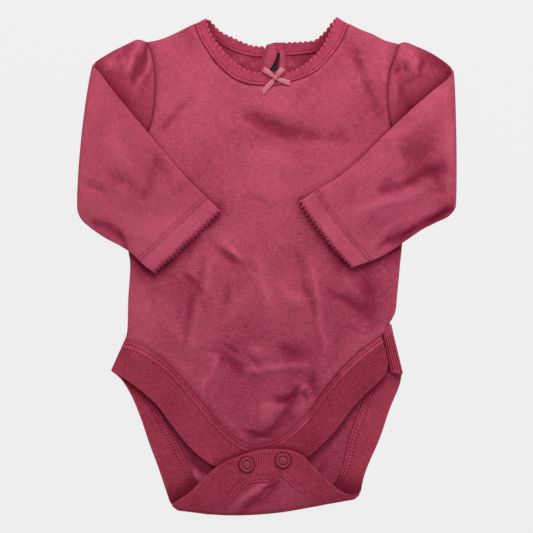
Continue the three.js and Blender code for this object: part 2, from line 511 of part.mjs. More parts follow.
// Scalloped edging round a cuff, just past the sleeve's last ring.
function cuffEdging({ outer, inner }) {
  const last = outer.length - 1;
  const middle = outer[last].map((p, j) => p.clone().lerp(inner[last][j], 0.5));
  const before = outer[last - 1].map((p, j) => p.clone().lerp(inner[last - 1][j], 0.5));
  const ring = new THREE.CatmullRomCurve3(middle, true, "centripetal");
  const behind = new THREE.CatmullRomCurve3(before, true, "centripetal");
  const steps = 2 * Math.round(ring.getLength() / SCALLOP_PITCH);
  const half = 0.4;
  const centre = middle.reduce((sum, p) => sum.add(p), v(0, 0)).divideScalar(middle.length);
  const rings = { outer: [[], []], inner: [[], []] };
  for (let k = 0; k < steps; k++) {
    const p = ring.getPoint(k / steps);
    const along = p.clone().sub(behind.getPoint(k / steps)).setZ(0).normalize();
    const tangent = ring.getTangent(k / steps);
    const side = tangent.clone().cross(along).normalize();
    if (side.dot(p.clone().sub(centre)) < 0) side.negate();
    const reach = [SEAM, SEAM + 0.7 + (k % 2 ? SCALLOP_DEEP : 0)];
    reach.forEach((far, i) => {
      rings.outer[i].push(p.clone().addScaledVector(along, far).addScaledVector(side, half));
      rings.inner[i].push(p.clone().addScaledVector(along, far).addScaledVector(side, -half));
    });
  }
  return tubeWall(rings.outer, rings.inner);
}

// Flat strips cut row by row, [left x, right x, y, underside z].
function stripWall(rows, thick) {
  const face = (add) => rows.map(([x0, x1, y, z]) => [v(x0, y, z + add), v(x1, y, z + add)]);
  return wallBetween(face(thick), face(0));
}

const FACING = 0.8;
const FACING_LOW = BAND + SEAM;
const LEFT_FACING = [[-1, 8, 166.5, FACING_LOW], [-2.5, 8, 161, FACING_LOW], [-5, 5.8, 155, FACING_LOW - 0.4],
  [-7, 2.6, 150, FRONT_LOW], [-7.5, 2.4, 146.5, FRONT_LOW]];
const RIGHT_FACING = [[10, 14, 165, FACING_LOW], [10, 14.5, 160, FACING_LOW], [9.3, 16, 154, FACING_LOW - 0.4],
  [8.4, 17, 150, FRONT_LOW], [8.2, 17.5, 146.5, FRONT_LOW]];
const NECK_TAB = [[0.5, 13, 162.6, 0], [-0.8, 13, 166, 0], [2, 13, 169.5, 0], [6, 13, 170.8, 0]];
const NECK_STUD = { x: 4, y: 165, radius: 3, low: CLOTH + SEAM, thick: 0.4 };

// Press studs: a ring cap on the flap, and the socket that holds it to the front band below.
const STUDS = { left: [-15, -150.7], right: [12.5, -147.5] };
const CAP_RADIUS = 5.5;

function turned(profile, sides = 20) {
  const closed = [...profile, profile[0]].map(([r, z]) => new THREE.Vector2(r, z));
  return new THREE.LatheGeometry(closed, sides).rotateX(Math.PI / 2);
}
const capShape = () => turned([[0, 0], [CAP_RADIUS, 0], [CAP_RADIUS, 0.5], [CAP_RADIUS - 0.8, 1.1], [3.7, 1.0],
  [3.2, 0.5], [2.4, 0.9], [0, 1.2]]);
const socketShape = (radius, thick) => turned([[0, 0], [radius, 0], [radius, thick], [0, thick]]);

// Ribbon bow: flat loops and tails of narrow satin, [reach x, reach y] from the knot to each tip.
const KNOT = [6.5, 143.3];
const RIBBON = 4;
const RIBBON_THICK = 0.7;
const LOOPS = { left: [-8.6, 6.6], right: [6.2, 6.9] };
const TAILS = { left: [-9, -10.4], right: [11, -3.9] };
const BOW_LOW = 5.65;

// Sweeps the ribbon's flat section along a path of [share of reach, height], measured out from the knot.
function ribbonPiece([dx, dy], path, width = RIBBON) {
  const reach = Math.hypot(dx, dy);
  const out = v(dx, dy).normalize();
  const side = v(-out.y, out.x);
  const at = path.map(([share, z]) => v(KNOT[0], KNOT[1], z).addScaledVector(out, share * reach));
  const faces = at.map((p, i) => {
    const run = at[Math.min(i + 1, at.length - 1)].clone().sub(at[Math.max(i - 1, 0)]).normalize();
    const up = run.clone().cross(side).normalize().negate();
    const rim = (h, w) => p.clone().addScaledVector(up, h).addScaledVector(side, w);
    return { upper: [rim(RIBBON_THICK / 2, -width / 2), rim(RIBBON_THICK / 2, width / 2)],
      lower: [rim(-RIBBON_THICK / 2, -width / 2), rim(-RIBBON_THICK / 2, width / 2)] };
  });
  return wallBetween(faces.map((f) => f.upper), faces.map((f) => f.lower));
}
const LOOP_PATH = [[0.22, 0], [0.6, 0.1], [0.86, 0.4], [0.97, 1.1], [0.9, 1.9], [0.6, 2.2], [0.22, 1.6]];
const TAIL_PATH = [[0.2, 0], [0.5, 0.2], [0.8, 0.2], [1, 0]];
const lifted = (path, low) => path.map(([share, z]) => [share, z + low]);

const MATERIALS = {
  jersey: new THREE.MeshStandardMaterial({ color: 0xb9516a, roughness: 0.95, metalness: 0 }),
  rib: new THREE.MeshStandardMaterial({ color: 0xa84460, roughness: 0.95, metalness: 0 }),
  edging: new THREE.MeshStandardMaterial({ color: 0xb04c66, roughness: 0.95, metalness: 0 }),
  satin: new THREE.MeshStandardMaterial({ color: 0xd0708a, roughness: 0.45, metalness: 0 }),
  enamel: new THREE.MeshStandardMaterial({ color: 0x96405a, roughness: 0.5, metalness: 0 }),
};

const bodysuit = new THREE.Group();
function add(name, geometry, material, place = [0, 0, 0]) {
  const mesh = new THREE.Mesh(geometry, MATERIALS[material]);
  mesh.name = name;
  mesh.position.set(...place);
  bodysuit.add(mesh);
}

add("back_panel", backPanel(), "jersey");
add("front_panel", frontPanel(), "jersey");
add("leg_band_back", backLegBand(), "rib");
add("leg_band_front", frontLegBand(), "rib");
add("neck_band", neckBand(), "rib");
for (const [side, sleeve] of Object.entries({ left: LEFT_SLEEVE, right: RIGHT_SLEEVE })) {
  const rings = sleeveRings(sleeve);
  add(`sleeve_${side}`, tubeWall(rings.outer, rings.inner), "jersey");
  add(`cuff_edging_${side}`, cuffEdging(rings), "edging");
  const [x, y] = STUDS[side];
  add(`stud_cap_${side}`, capShape(), "enamel", [x, y, FLAP_TOP + RIB_RISE + 0.1]);
  add(`stud_socket_${side}`, socketShape(4.2, 0.75), "enamel", [x, y, FLAP_TOP - BAND - 1.05]);
  add(`bow_loop_${side}`, ribbonPiece(LOOPS[side], lifted(LOOP_PATH, BOW_LOW + 1)), "satin");
  add(`bow_tail_${side}`, ribbonPiece(TAILS[side], lifted(TAIL_PATH, BOW_LOW)), "satin");
}
add("bow_knot", ribbonPiece([3.2, 0], lifted([[-0.45, 3.9], [0.45, 3.9]], BOW_LOW), 3.6), "satin");
add("keyhole_facing_left", stripWall(LEFT_FACING, FACING), "jersey");
add("keyhole_facing_right", stripWall(RIGHT_FACING, FACING), "jersey");
add("neck_tab", stripWall(NECK_TAB, CLOTH), "rib");
add("neck_stud", socketShape(NECK_STUD.radius, NECK_STUD.thick), "enamel", [NECK_STUD.x, NECK_STUD.y, NECK_STUD.low]);

export default bodysuit;
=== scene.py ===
import math
import bpy
import numpy as np
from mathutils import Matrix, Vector


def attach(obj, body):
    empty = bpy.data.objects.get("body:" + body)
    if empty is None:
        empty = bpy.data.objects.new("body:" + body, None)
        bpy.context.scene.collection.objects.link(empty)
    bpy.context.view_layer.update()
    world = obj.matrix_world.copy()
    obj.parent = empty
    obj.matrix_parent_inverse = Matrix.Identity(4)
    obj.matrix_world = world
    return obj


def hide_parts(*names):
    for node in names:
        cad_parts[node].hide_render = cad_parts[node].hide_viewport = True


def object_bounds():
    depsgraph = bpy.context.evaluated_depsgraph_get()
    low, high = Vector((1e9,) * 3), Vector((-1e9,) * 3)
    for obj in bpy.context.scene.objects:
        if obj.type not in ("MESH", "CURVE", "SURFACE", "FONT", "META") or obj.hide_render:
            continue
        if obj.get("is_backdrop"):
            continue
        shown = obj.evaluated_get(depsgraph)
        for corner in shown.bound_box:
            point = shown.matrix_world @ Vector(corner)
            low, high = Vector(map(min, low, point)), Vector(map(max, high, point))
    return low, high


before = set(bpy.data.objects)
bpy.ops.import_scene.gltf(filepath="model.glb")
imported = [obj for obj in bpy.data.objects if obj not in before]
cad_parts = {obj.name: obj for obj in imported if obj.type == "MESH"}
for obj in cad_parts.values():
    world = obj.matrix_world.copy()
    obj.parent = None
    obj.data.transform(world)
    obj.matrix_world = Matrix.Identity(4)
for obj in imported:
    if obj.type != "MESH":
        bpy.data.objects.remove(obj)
cad_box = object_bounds()

# Front panel: one piece of fine cotton jersey, from the shoulders to the crotch. It lies over the back with soft
# creases pressed into it. It is sewn to the neck band, the sleeves, the side seams and the front leg band.
MM = 0.001
JERSEY_THICK = 1.0
# The jersey's colour at the two ends of its tone. The mix between them gives its random tone, and also its painted
# shade and painted light.
JERSEY_DEEP = (0.285, 0.031, 0.062)
JERSEY_LIT = (0.515, 0.092, 0.150)
FRONT_LOW = 1.3
FRONT_COLUMNS, FRONT_ROWS = 170, 230
LEFT_ARMHOLE = [(-91.5, 171), (-87.5, 161.5), (-85, 146), (-85.5, 124.5), (-90, 104.5), (-100.5, 90)]
LEFT_SIDE = [(-100.5, 90), (-104, 69), (-105.5, 14), (-104, 2.5), (-105.5, -25), (-106.5, -51), (-108.5, -57)]
RIGHT_ARMHOLE = [(101, 169.5), (98, 160), (94, 149), (92.5, 130), (95.5, 106), (103, 90)]
RIGHT_SIDE = [(103, 90), (104.5, 69), (103.5, 18), (102, 2.5), (99.5, -23.5), (98, -35.5), (93, -44.5)]
LEFT_SHOULDER = [(-91.5, 171), (-85, 172), (-76, 174.8), (-65, 180), (-54.5, 185.2)]
RIGHT_SHOULDER = [(62.5, 185.2), (71, 181), (81, 177), (91, 172), (101, 169.5)]
FRONT_NECK = [(-54.5, 185.2), (-52.5, 179), (-49, 171.5), (-38.5, 156), (-25, 143.5), (-15, 139.5), (3, 138),
              (18, 140.5), (38, 149), (52.5, 165), (57.5, 173.5), (62.5, 185.2)]
FRONT_LEG = [(-108.5, -57), (-98, -59.5), (-87.5, -65.5), (-77, -73), (-64, -86), (-52, -100.5), (-39, -116.5),
             (-27, -128), (-14, -136), (-2.5, -135.5), (5, -133.5), (14.5, -128), (30, -114), (40.5, -99.5),
             (52.5, -84), (60.8, -75), (70.5, -65.9), (81, -57.8), (87.5, -53)]
# The edges of the folded forearms and of their cuffs over the front, beside which shade is painted into the cloth's
# colour.
ARM_EDGES = {"left": [(-132.5, 153.5), (-117, 134), (-93, 105), (-65, 72), (-35.8, 43)],
             "right": [(143.3, 149.5), (113.5, 122.5), (86, 96.5), (54, 67.5), (26, 50)]}
CUFF_EDGES = {"left": [(-35.8, 43), (-59, 20.5), (-86, -4), (-97, 4.5), (-106, 11)],
              "right": [(26, 50), (42, 25), (65.5, -0.5), (81.5, 5), (90.5, 9.5), (104, 17)]}
# Each crease runs from x, y to x, y. Then come its sideways bow, half width and rise.
FRONT_CREASES = [
    (-13, 114, 56, 98.5, -5, 6, -1.5), (-3.5, 108, 14, 101.5, -1, 3.5, -0.8), (61.5, 173, 84.5, 113, 2, 4, -1.1),
    (88.5, 166, 91, 142, 0, 4, 0.6), (-60, 126.5, -80, 106.5, 0, 3, -0.8), (35.5, 142, 17.5, 123, 0, 3, -0.5),
    (-41.5, 17, -21.5, 0.5, 0, 3.5, -1.1), (-34, 18.5, -18, 3.5, 0, 3, 0.8),
    (-47.5, 3.5, -62.5, -69.5, -2, 3, -0.6), (-42, 3.5, -55.5, -63.5, -2, 3, 0.45),
    (-61, -5.5, -53.5, -18, 0, 3, -0.8), (-29.5, -10.5, -34, -36, 0, 4, -0.7), (-8, 3.5, 1, -25.5, 0, 4.5, 0.9),
    (10.5, -14, 24, -27.5, 0, 4, 0.9), (24, 11, 37.5, -37.5, -3, 3.5, -0.9), (31.5, 3.5, 42, -77, 4, 2.6, 0.7),
    (48.5, -18, 69.5, -34.5, 0, 3.5, -1.1), (59.5, -7, 72.5, -24, 0, 4, 0.7), (75.5, -1, 78.5, -44.5, 0, 7, -0.8),
    (-39, -69.5, -49, -97, 0, 3, 0.9), (-34, -67.5, -23, -80, 0, 6, -1.3), (-15.5, -80, 30, -77, 1, 3.5, 0.9),
    (-12, -66, 0, -64, 0, 7, 0.8), (17, -66, 28, -64, 0, 8, -0.8), (7, -101.5, 24, -94, -3, 3, -1.5),
    (25.5, -89.5, 33, -95.5, 0, 3, 1.2), (35.5, -84.5, 37, -98, 0, 3, -1.1),
    (18.5, -101.5, -12.5, -130, 6, 4, -1.4), (-6, -112, 5, -109, 0, 8, 1.1), (24, -107, 30, -105, 0, 5, 0.8)]
FRONT_FINE_CREASES = [
    (-76, 138, -83, 131, 0, 2.5, -0.5), (-64, 184, -60, 170, 0, 3, -0.6), (-16, 53, 2, 45, 1, 3, -0.45),
    (2.5, -9, 3, -23, 0, 1.6, -0.7), (-6, -84, -20, -93, 0, 4, -0.5), (-60, -60, -40, -52, 0, 5, 0.5),
    (-80, -40, -62, -64, 2, 6, 0.5), (-90, -10, -84, -45, 1, 6, -0.5), (58, -50, 50, -74, 0, 5, -0.5),
    (-70, 40, -62, 5, 2, 7, -0.4), (60, 60, 85, 30, -2, 7, -0.4), (-15, 85, 20, 78, 2, 9, 0.4),
    (-4, -104, -14, -121, 0, 3, -0.5), (20, -116, 4, -127, 0, 2.5, -0.7), (64, 30, 90, 8, 0, 5, 0.5),
    (6, -105, 20, -98.5, 0, 1.8, -1.6), (32, -91, 38, -89, 0, 1.6, -1.5), (29, -104, 29.5, -97, 0, 1.5, -1.6),
    (29, -95, 32, -92, 0, 2, 1.6), (17, -113, 22, -118, 0, 2.2, -1.1), (-22, -126, 6, -130, 0, 2.2, -1.2),
    (11, -62, 21, -70, 0, 3, -0.9), (-33, -60, -22, -66, 0, 2.5, -1.0), (-15, -68, -4, -80, 0, 2.2, -0.7),
    (-27, -83, -34, -94, 0, 2.2, -0.7), (38, -60, 44, -72, 0, 2, -0.7), (-24, -6, -20, -22, 0, 2, -0.7),
    (12, 12, 20, -2, 0, 2, -0.6), (-52, -20, -46, -34, 0, 2, -0.7), (62, -46, 74, -52, 0, 2.4, -0.7)]


def smooth_line(rows, per_span=24):
    """A dense line through the rows, curved evenly from one to the next."""
    p = np.array(rows, float)
    p = np.vstack([2 * p[0] - p[1], p, 2 * p[-1] - p[-2]])
    t = np.linspace(0, 1, per_span, endpoint=False)[:, None]
    spans = []
    for p0, p1, p2, p3 in zip(p, p[1:], p[2:], p[3:]):
        d0, d1, d2 = (max(np.linalg.norm(b - a) ** 0.5, 1e-4) for a, b in ((p0, p1), (p1, p2), (p2, p3)))
        m1 = ((p1 - p0) / d0 - (p2 - p0) / (d0 + d1) + (p2 - p1) / d1) * d1
        m2 = ((p2 - p1) / d1 - (p3 - p1) / (d1 + d2) + (p3 - p2) / d2) * d1
        spans.append((2 * t**3 - 3 * t**2 + 1) * p1 + (t**3 - 2 * t**2 + t) * m1
                     + (3 * t**2 - 2 * t**3) * p2 + (t**3 - t**2) * m2)
    return np.vstack(spans + [p[-2:-1]])


def run_length(line):
    return np.concatenate([[0], np.cumsum(np.linalg.norm(np.diff(line, axis=0), axis=1))])


def sampled(line, run, at):
    """Points of a line at those lengths along it. run is the length at each of its own points."""
    return np.column_stack([np.interp(at, run, column) for column in line.T])


def at_shares(line, shares):
    """Points at those shares, 0 to 1, of a line's length."""
    run = run_length(line)
    return sampled(line, run, np.asarray(shares) * run[-1])


def joined(*lines):
    return np.vstack([lines[0]] + [line[1:] for line in lines[1:]])


def end_dense(count, bunch=0.6):
    """Shares from 0 to 1 that lie closer together at both ends, where the seams are."""
    t = np.linspace(0, 1, count)
    return t - bunch * np.sin(2 * np.pi * t) / (2 * np.pi)


def line_distance(xy, *lines):
    """How far each point is from the nearest of some lines, worked out in blocks to save memory."""
    a = np.vstack([line[:-1] for line in lines])
    d = np.vstack([np.diff(line, axis=0) for line in lines])
    out = []
    for block in np.array_split(xy, max(1, len(xy) // 4000)):
        q = block[:, None, :] - a
        t = np.clip((q * d).sum(-1) / np.maximum((d * d).sum(-1), 1e-9), 0, 1)
        out.append(np.linalg.norm(q - t[..., None] * d, axis=-1).min(1))
    return np.concatenate(out)


def bell(distance, reach):
    """1 where the distance is 0, and close to 0 from twice the reach on."""
    return np.exp(-((distance / reach) ** 2))


def creased(xy, rows):
    """Height of the creases at each point. Small swells bend them and vary them, as in much-used cloth."""
    total = np.zeros(len(xy))
    uneven = 1 + 0.45 * soft_noise(xy, 9, 55)
    xy = xy + np.column_stack([1.8 * soft_noise(xy, 15, k) + 0.7 * soft_noise(xy, 5, k + 1) for k in (51, 53)])
    for x0, y0, x1, y1, bow, wide, rise in rows:
        dx, dy = x1 - x0, y1 - y0
        length = math.hypot(dx, dy)
        along = ((xy[:, 0] - x0) * dx + (xy[:, 1] - y0) * dy) / length**2
        near = np.clip(along, 0, 1)
        across = ((xy[:, 1] - y0) * dx - (xy[:, 0] - x0) * dy) / length - bow * 4 * near * (1 - near)
        total += rise * (0.65 + 1.5 * near * (1 - near)) * np.exp(-((across / wide / 0.85) ** 2)
                                                                - ((along - near) * length / wide) ** 2)
    return total * uneven


def beside(xy, reach, *tables):
    """1 on the lines of those tables, and less away from them."""
    return bell(line_distance(xy, *(smooth_line(table, 4) for table in tables)), reach)


def ease(low, high, x):
    t = np.clip((np.asarray(x, float) - low) / (high - low), 0, 1)
    return t * t * (3 - 2 * t)


def soft_noise(xy, size, seed):
    """Smooth random swells about size across, from -1 to 1."""
    table = np.random.default_rng(seed).uniform(-1, 1, (64, 64))
    q = xy / size + 32
    i = np.floor(q).astype(int)
    f = q - i
    f = f * f * f * (f * (f * 6 - 15) + 10)
    pick = lambda a, b: table[(i[:, 0] + a) % 64, (i[:, 1] + b) % 64]
    low = pick(0, 0) * (1 - f[:, 0]) + pick(1, 0) * f[:, 0]
    high = pick(0, 1) * (1 - f[:, 0]) + pick(1, 1) * f[:, 0]
    return low * (1 - f[:, 1]) + high * f[:, 1]


def crumpled(xy, size, seed):
    """Thin broken creases, as a garment keeps from its folding: down to -1 on their lines, and 0 between them."""
    bent = xy + np.column_stack([3 * soft_noise(xy, 11, seed + k) for k in (1, 2)])
    where = np.clip(1.7 * soft_noise(xy, 2 * size, seed + 3), 0, 1)
    return -where * bell(soft_noise(bent, size, seed), 0.13)


def filled(top, bottom, left, right, across, down):
    """A grid of x, y between four border lines."""
    top, bottom = at_shares(top, across), at_shares(bottom, across)
    left, right = at_shares(left, down), at_shares(right, down)
    s, t = across[None, :, None], down[:, None, None]
    ruled = top[None] * (1 - t) + bottom[None] * t + left[:, None] * (1 - s) + right[:, None] * s
    corners = (top[0] * (1 - s) + top[-1] * s) * (1 - t) + (bottom[0] * (1 - s) + bottom[-1] * s) * t
    return ruled - corners


def unit(vectors):
    return vectors / np.maximum(np.linalg.norm(vectors, axis=-1, keepdims=True), 1e-9)


def grid_normals(grid, closed=False):
    if closed:
        side = np.roll(grid, -1, 1) - np.roll(grid, 1, 1)
    else:
        side = np.gradient(grid, axis=1)
    return unit(np.cross(np.gradient(grid, axis=0), side))


def placed(name, mesh, material):
    """The smooth-shaded piece of the garment that has this mesh."""
    mesh.polygons.foreach_set("use_smooth", np.ones(len(mesh.polygons), bool))
    mesh.materials.append(material)
    piece = bpy.data.objects.new(name, mesh)
    bpy.context.scene.collection.objects.link(piece)
    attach(piece, "root")
    return piece


def cloth_piece(name, outer, inner, uv, material, closed=False, painted_shade_and_tone=None, drop=None):
    """A sewn piece as a closed wall: a grid of outer points, one of inner points, and a rim between them.
    uv is in millimetres along the knit, with one more column than the grid if the piece is a tube."""
    rows, columns = outer.shape[:2]
    count = rows * columns
    wide = columns if closed else columns - 1
    i, j = (k.ravel() for k in np.meshgrid(np.arange(rows - 1), np.arange(wide), indexing="ij"))
    if drop is not None:
        keep = ~drop[i, j]
        i, j = i[keep], j[keep]
    corner = lambda a, b: (i + a) * columns + (j + b) % columns
    quads = np.column_stack([corner(0, 0), corner(0, 1), corner(1, 1), corner(1, 0)])
    marks = np.stack([uv[i, j], uv[i, j + 1], uv[i + 1, j + 1], uv[i + 1, j]], 1)
    edges = {}
    for face, mark in zip(quads, marks):
        for k in range(4):
            a, b = int(face[k]), int(face[(k + 1) % 4])
            if (b, a) in edges:
                del edges[(b, a)]
            else:
                edges[(a, b)] = (mark[k], mark[(k + 1) % 4])
    rim = np.array([(b, a, a + count, b + count) for a, b in edges]).reshape(-1, 4)
    rim_uv = np.array([(vb, va, va, vb) for va, vb in edges.values()]).reshape(-1, 4, 2)
    faces = np.vstack([quads, quads[:, ::-1] + count, rim])
    face_uv = np.vstack([marks, marks[:, ::-1], rim_uv])
    points = np.vstack([outer.reshape(-1, 3), inner.reshape(-1, 3)])
    used = np.unique(faces)
    place = np.full(len(points), -1)
    place[used] = np.arange(len(used))
    points, faces = points[used], place[faces]
    tri = points[faces[:, :3]]
    tri2 = points[faces[:, [0, 2, 3]]]
    if sum(np.einsum("ij,ij->i", t[:, 0], np.cross(t[:, 1], t[:, 2])).sum() for t in (tri, tri2)) < 0:
        faces, face_uv = faces[:, ::-1], face_uv[:, ::-1]
    mesh = bpy.data.meshes.new(name)
    mesh.from_pydata((points * MM).tolist(), [], faces.tolist())
    mesh.uv_layers.new(name="knit").data.foreach_set("uv", face_uv.reshape(-1).astype(np.float32))
    # Each point's painted shade and painted light, with some random tone, go to the cloth's colour through this
    # attribute.
    shade_and_tone_values = np.zeros(2 * count) if painted_shade_and_tone is None else np.concatenate([painted_shade_and_tone.ravel(), painted_shade_and_tone.ravel()])
    mesh.attributes.new("painted_shade_and_tone", "FLOAT", "POINT").data.foreach_set("value", shade_and_tone_values[used].astype(np.float32))
    return placed(name, mesh, material)


def blank_material(name):
    """A material with an empty node tree, and that tree."""
    material = bpy.data.materials.new(name)
    material.use_nodes = True
    material.node_tree.nodes.clear()
    return material, material.node_tree


def add_node(tree, kind, inputs=(), **settings):
    """A shader node. A value in inputs is a number, a colour or another node's output."""
    made = tree.nodes.new(kind)
    for key, value in settings.items():
        setattr(made, key, value)
    for key, value in dict(inputs).items():
        if isinstance(value, bpy.types.NodeSocket):
            tree.links.new(value, made.inputs[key])
        else:
            made.inputs[key].default_value = value
    return made


def sums(tree, operation, a, b=0.0, c=0.0):
    return add_node(tree, "ShaderNodeMath", {0: a, 1: b, 2: c}, operation=operation).outputs[0]


def knit_material(name, deep, lit, wale, course, depth, slubs):
    """Cotton knit: V-shaped stitches in columns, a fuzzy surface, yarn that is thick and thin, colour washed out in
    soft patches, and the painted shade and painted light that each mesh gives in its attribute. wale and course are the
    size of a stitch in millimetres."""
    material, tree = blank_material(name)
    place = add_node(tree, "ShaderNodeTexCoord").outputs["Object"]
    grain = add_node(tree, "ShaderNodeUVMap", uv_map="knit").outputs["UV"]
    split = add_node(tree, "ShaderNodeSeparateXYZ", {0: grain})
    column = sums(tree, "DIVIDE", split.outputs[0], wale)
    half = sums(tree, "ABSOLUTE", sums(tree, "SUBTRACT", sums(tree, "FRACT", column), 0.5))
    slant = sums(tree, "ADD", sums(tree, "DIVIDE", split.outputs[1], course), half)
    legs = sums(tree, "SINE", sums(tree, "MULTIPLY", slant, 2 * math.pi))
    ridge = sums(tree, "SINE", sums(tree, "MULTIPLY", half, 2 * math.pi))
    stitch = sums(tree, "MULTIPLY_ADD", legs, 0.35, ridge)
    noise = lambda scale, detail: add_node(
        tree, "ShaderNodeTexNoise", {"Vector": place, "Scale": scale, "Detail": detail, "Roughness": 0.55}).outputs[0]
    washed, mottled, fibre = noise(22, 3), noise(170, 3), noise(1500, 2)

    def streaks(*stretch):
        drawn = add_node(tree, "ShaderNodeMapping", {"Vector": grain, "Scale": stretch}).outputs[0]
        settings = {"Vector": drawn, "Scale": 0.9, "Detail": 3, "Roughness": 0.65}
        return add_node(tree, "ShaderNodeTexNoise", settings).outputs[0]

    slub = sums(tree, "MULTIPLY_ADD", streaks(0.24, 1.0, 1), 0.7, sums(tree, "MULTIPLY", streaks(1.0, 0.2, 1), 0.5))
    shade_and_tone_values = add_node(tree, "ShaderNodeAttribute", attribute_name="painted_shade_and_tone").outputs["Fac"]
    tone = sums(tree, "MULTIPLY_ADD", washed, 0.75, 0.02)
    tone = sums(tree, "MULTIPLY_ADD", mottled, 0.34, tone)
    tone = sums(tree, "MULTIPLY_ADD", fibre, 0.30, tone)
    tone = sums(tree, "MULTIPLY_ADD", stitch, 0.05, tone)
    tone = sums(tree, "MULTIPLY_ADD", slub, 2.3 * slubs, tone)
    # The attribute adds painted shade and painted light to the tone.
    tone = sums(tree, "MULTIPLY_ADD", shade_and_tone_values, 0.55, tone)
    tone = sums(tree, "SUBTRACT", tone, 0.22 + 1.38 * slubs)
    colour = add_node(tree, "ShaderNodeMix", {0: tone, 6: (*deep, 1), 7: (*lit, 1)}, data_type="RGBA").outputs[2]
    # Below a tone of 0, which the painted shade mostly brings, the colour goes on to a deeper, redder painted shade.
    painted_shade_colour = (0.50 * deep[0], 0.16 * deep[1], 0.28 * deep[2], 1)
    colour = add_node(tree, "ShaderNodeMix", {0: sums(tree, "MULTIPLY", tone, -0.9), 6: colour, 7: painted_shade_colour},
                      data_type="RGBA").outputs[2]
    height = sums(tree, "MULTIPLY_ADD", fibre, 0.6, sums(tree, "MULTIPLY", stitch, depth))
    height = sums(tree, "MULTIPLY_ADD", mottled, 0.8, height)
    height = sums(tree, "MULTIPLY_ADD", slub, 1.6 * slubs, height)
    bump = add_node(tree, "ShaderNodeBump", {"Height": height, "Strength": 0.7, "Distance": 0.00022})
    cloth = add_node(tree, "ShaderNodeBsdfPrincipled", {
        "Base Color": colour, "Roughness": 0.95, "Specular IOR Level": 0.1, "Sheen Weight": 0.12,
        "Sheen Roughness": 0.5, "Sheen Tint": (0.95, 0.50, 0.60, 1), "Normal": bump.outputs[0]})
    add_node(tree, "ShaderNodeOutputMaterial", {"Surface": cloth.outputs[0]})
    return material


def front_base(xy, fine=False):
    """Height of the front panel's underside: sewn down at its closed edges and softly hollow between them."""
    closed = line_distance(xy, left_edge, right_edge)
    crotch = 0.15 + 0.85 * ease(-140, -70, xy[:, 1])
    soft = 0.6 * (1 - np.exp(-closed / 3)) + 1.6 * crotch * (1 - np.exp(-closed / 14))
    folds = 1.6 * creased(xy, FRONT_CREASES) * (0.5 + 0.5 * crotch)
    if fine:
        folds += 1.7 * creased(xy, FRONT_FINE_CREASES) * (0.5 + 0.5 * crotch)
        folds += 0.9 * soft_noise(xy, 30, 3) + 0.40 * soft_noise(xy, 13, 4) + 0.12 * soft_noise(xy, 6, 6)
        folds += 0.55 * crumpled(xy, 15, 61) * ease(30, -10, xy[:, 1])
    return FRONT_LOW + np.maximum(0, soft + folds * (1 - np.exp(-closed / 8)))


def front_top(xy):
    """Height of the front panel's upper face, rounded off at its sides and drawn down at its seams."""
    z = front_base(xy, True) + JERSEY_THICK
    free = line_distance(xy, smooth_line(LEFT_SIDE, 6), smooth_line(RIGHT_SIDE, 6))
    z -= 1.0 * (1 - np.sqrt(np.clip(1 - (1 - np.clip(free, 0, 2.4) / 2.4) ** 2, 0, 1)))
    seam = line_distance(xy, smooth_line(LEFT_ARMHOLE, 6), smooth_line(FRONT_NECK, 6), smooth_line(RIGHT_ARMHOLE, 6),
                         smooth_line(FRONT_LEG, 5))
    z += 0.45 * bell(seam - 4.5, 3) - 0.75 * bell(seam, 1.2)
    return z - 1.1 * np.exp(-line_distance(xy, smooth_line(RIGHT_SIDE, 6)) / 6)


left_edge = joined(smooth_line(LEFT_SHOULDER, 6)[::-1], smooth_line(LEFT_ARMHOLE, 6), smooth_line(LEFT_SIDE, 6))
right_edge = joined(smooth_line(RIGHT_SHOULDER, 6), smooth_line(RIGHT_ARMHOLE, 6), smooth_line(RIGHT_SIDE, 6))
hip_corner = np.array([RIGHT_SIDE[-1], FRONT_LEG[-1]], float)
front_plan = filled(joined(smooth_line(LEFT_SHOULDER), smooth_line(FRONT_NECK), smooth_line(RIGHT_SHOULDER)),
                    smooth_line(FRONT_LEG), joined(smooth_line(LEFT_ARMHOLE), smooth_line(LEFT_SIDE)),
                    joined(smooth_line(RIGHT_ARMHOLE), smooth_line(RIGHT_SIDE), hip_corner),
                    end_dense(FRONT_COLUMNS), end_dense(FRONT_ROWS))
flat_xy = front_plan.reshape(-1, 2)
upper = np.dstack([front_plan, front_top(flat_xy).reshape(front_plan.shape[:2])])
jersey = knit_material("cotton_jersey", JERSEY_DEEP, JERSEY_LIT, wale=0.95, course=0.75, depth=0.5, slubs=0.9)
# Painted shade and light on the front, after the creases: darker in their troughs and lighter on their ridges, lighter
# along the thin broken creases, and darker towards the crotch, with some random tone.
front_shade_and_tone = np.clip(creased(flat_xy, FRONT_CREASES), -1.5, 0.9) * np.where(flat_xy[:, 1] > 60, 0.9, 0.95)
front_shade_and_tone += 0.3 * soft_noise(flat_xy, 26, 7) + 0.45 * np.clip(creased(flat_xy, FRONT_FINE_CREASES), -1.5, 1)
front_shade_and_tone -= 0.25 * ease(-60, -125, flat_xy[:, 1]) + 0.6 * crumpled(flat_xy, 15, 61) * ease(30, -10, flat_xy[:, 1])
# It is also darker or lighter in some soft round patches.
for x, y, reach, rise in ((68, -24, 26, -0.8), (8, -78, 38, -0.5), (-58, 172, 13, -0.5), (70, 165, 12, -0.35),
                          (-62, -14, 9, -0.5), (-88, -36, 18, 0.35), (88, 60, 16, -0.4), (0, 60, 40, 0.15),
                          (55, 108, 24, -0.3), (-32, 108, 26, -0.15)):
    front_shade_and_tone += rise * bell(np.hypot(flat_xy[:, 0] - x, flat_xy[:, 1] - y), reach)
arms, cuffs, armholes = ARM_EDGES.values(), CUFF_EDGES.values(), (LEFT_ARMHOLE, RIGHT_ARMHOLE)
patchy = 1 + 0.7 * soft_noise(flat_xy, 14, 57)
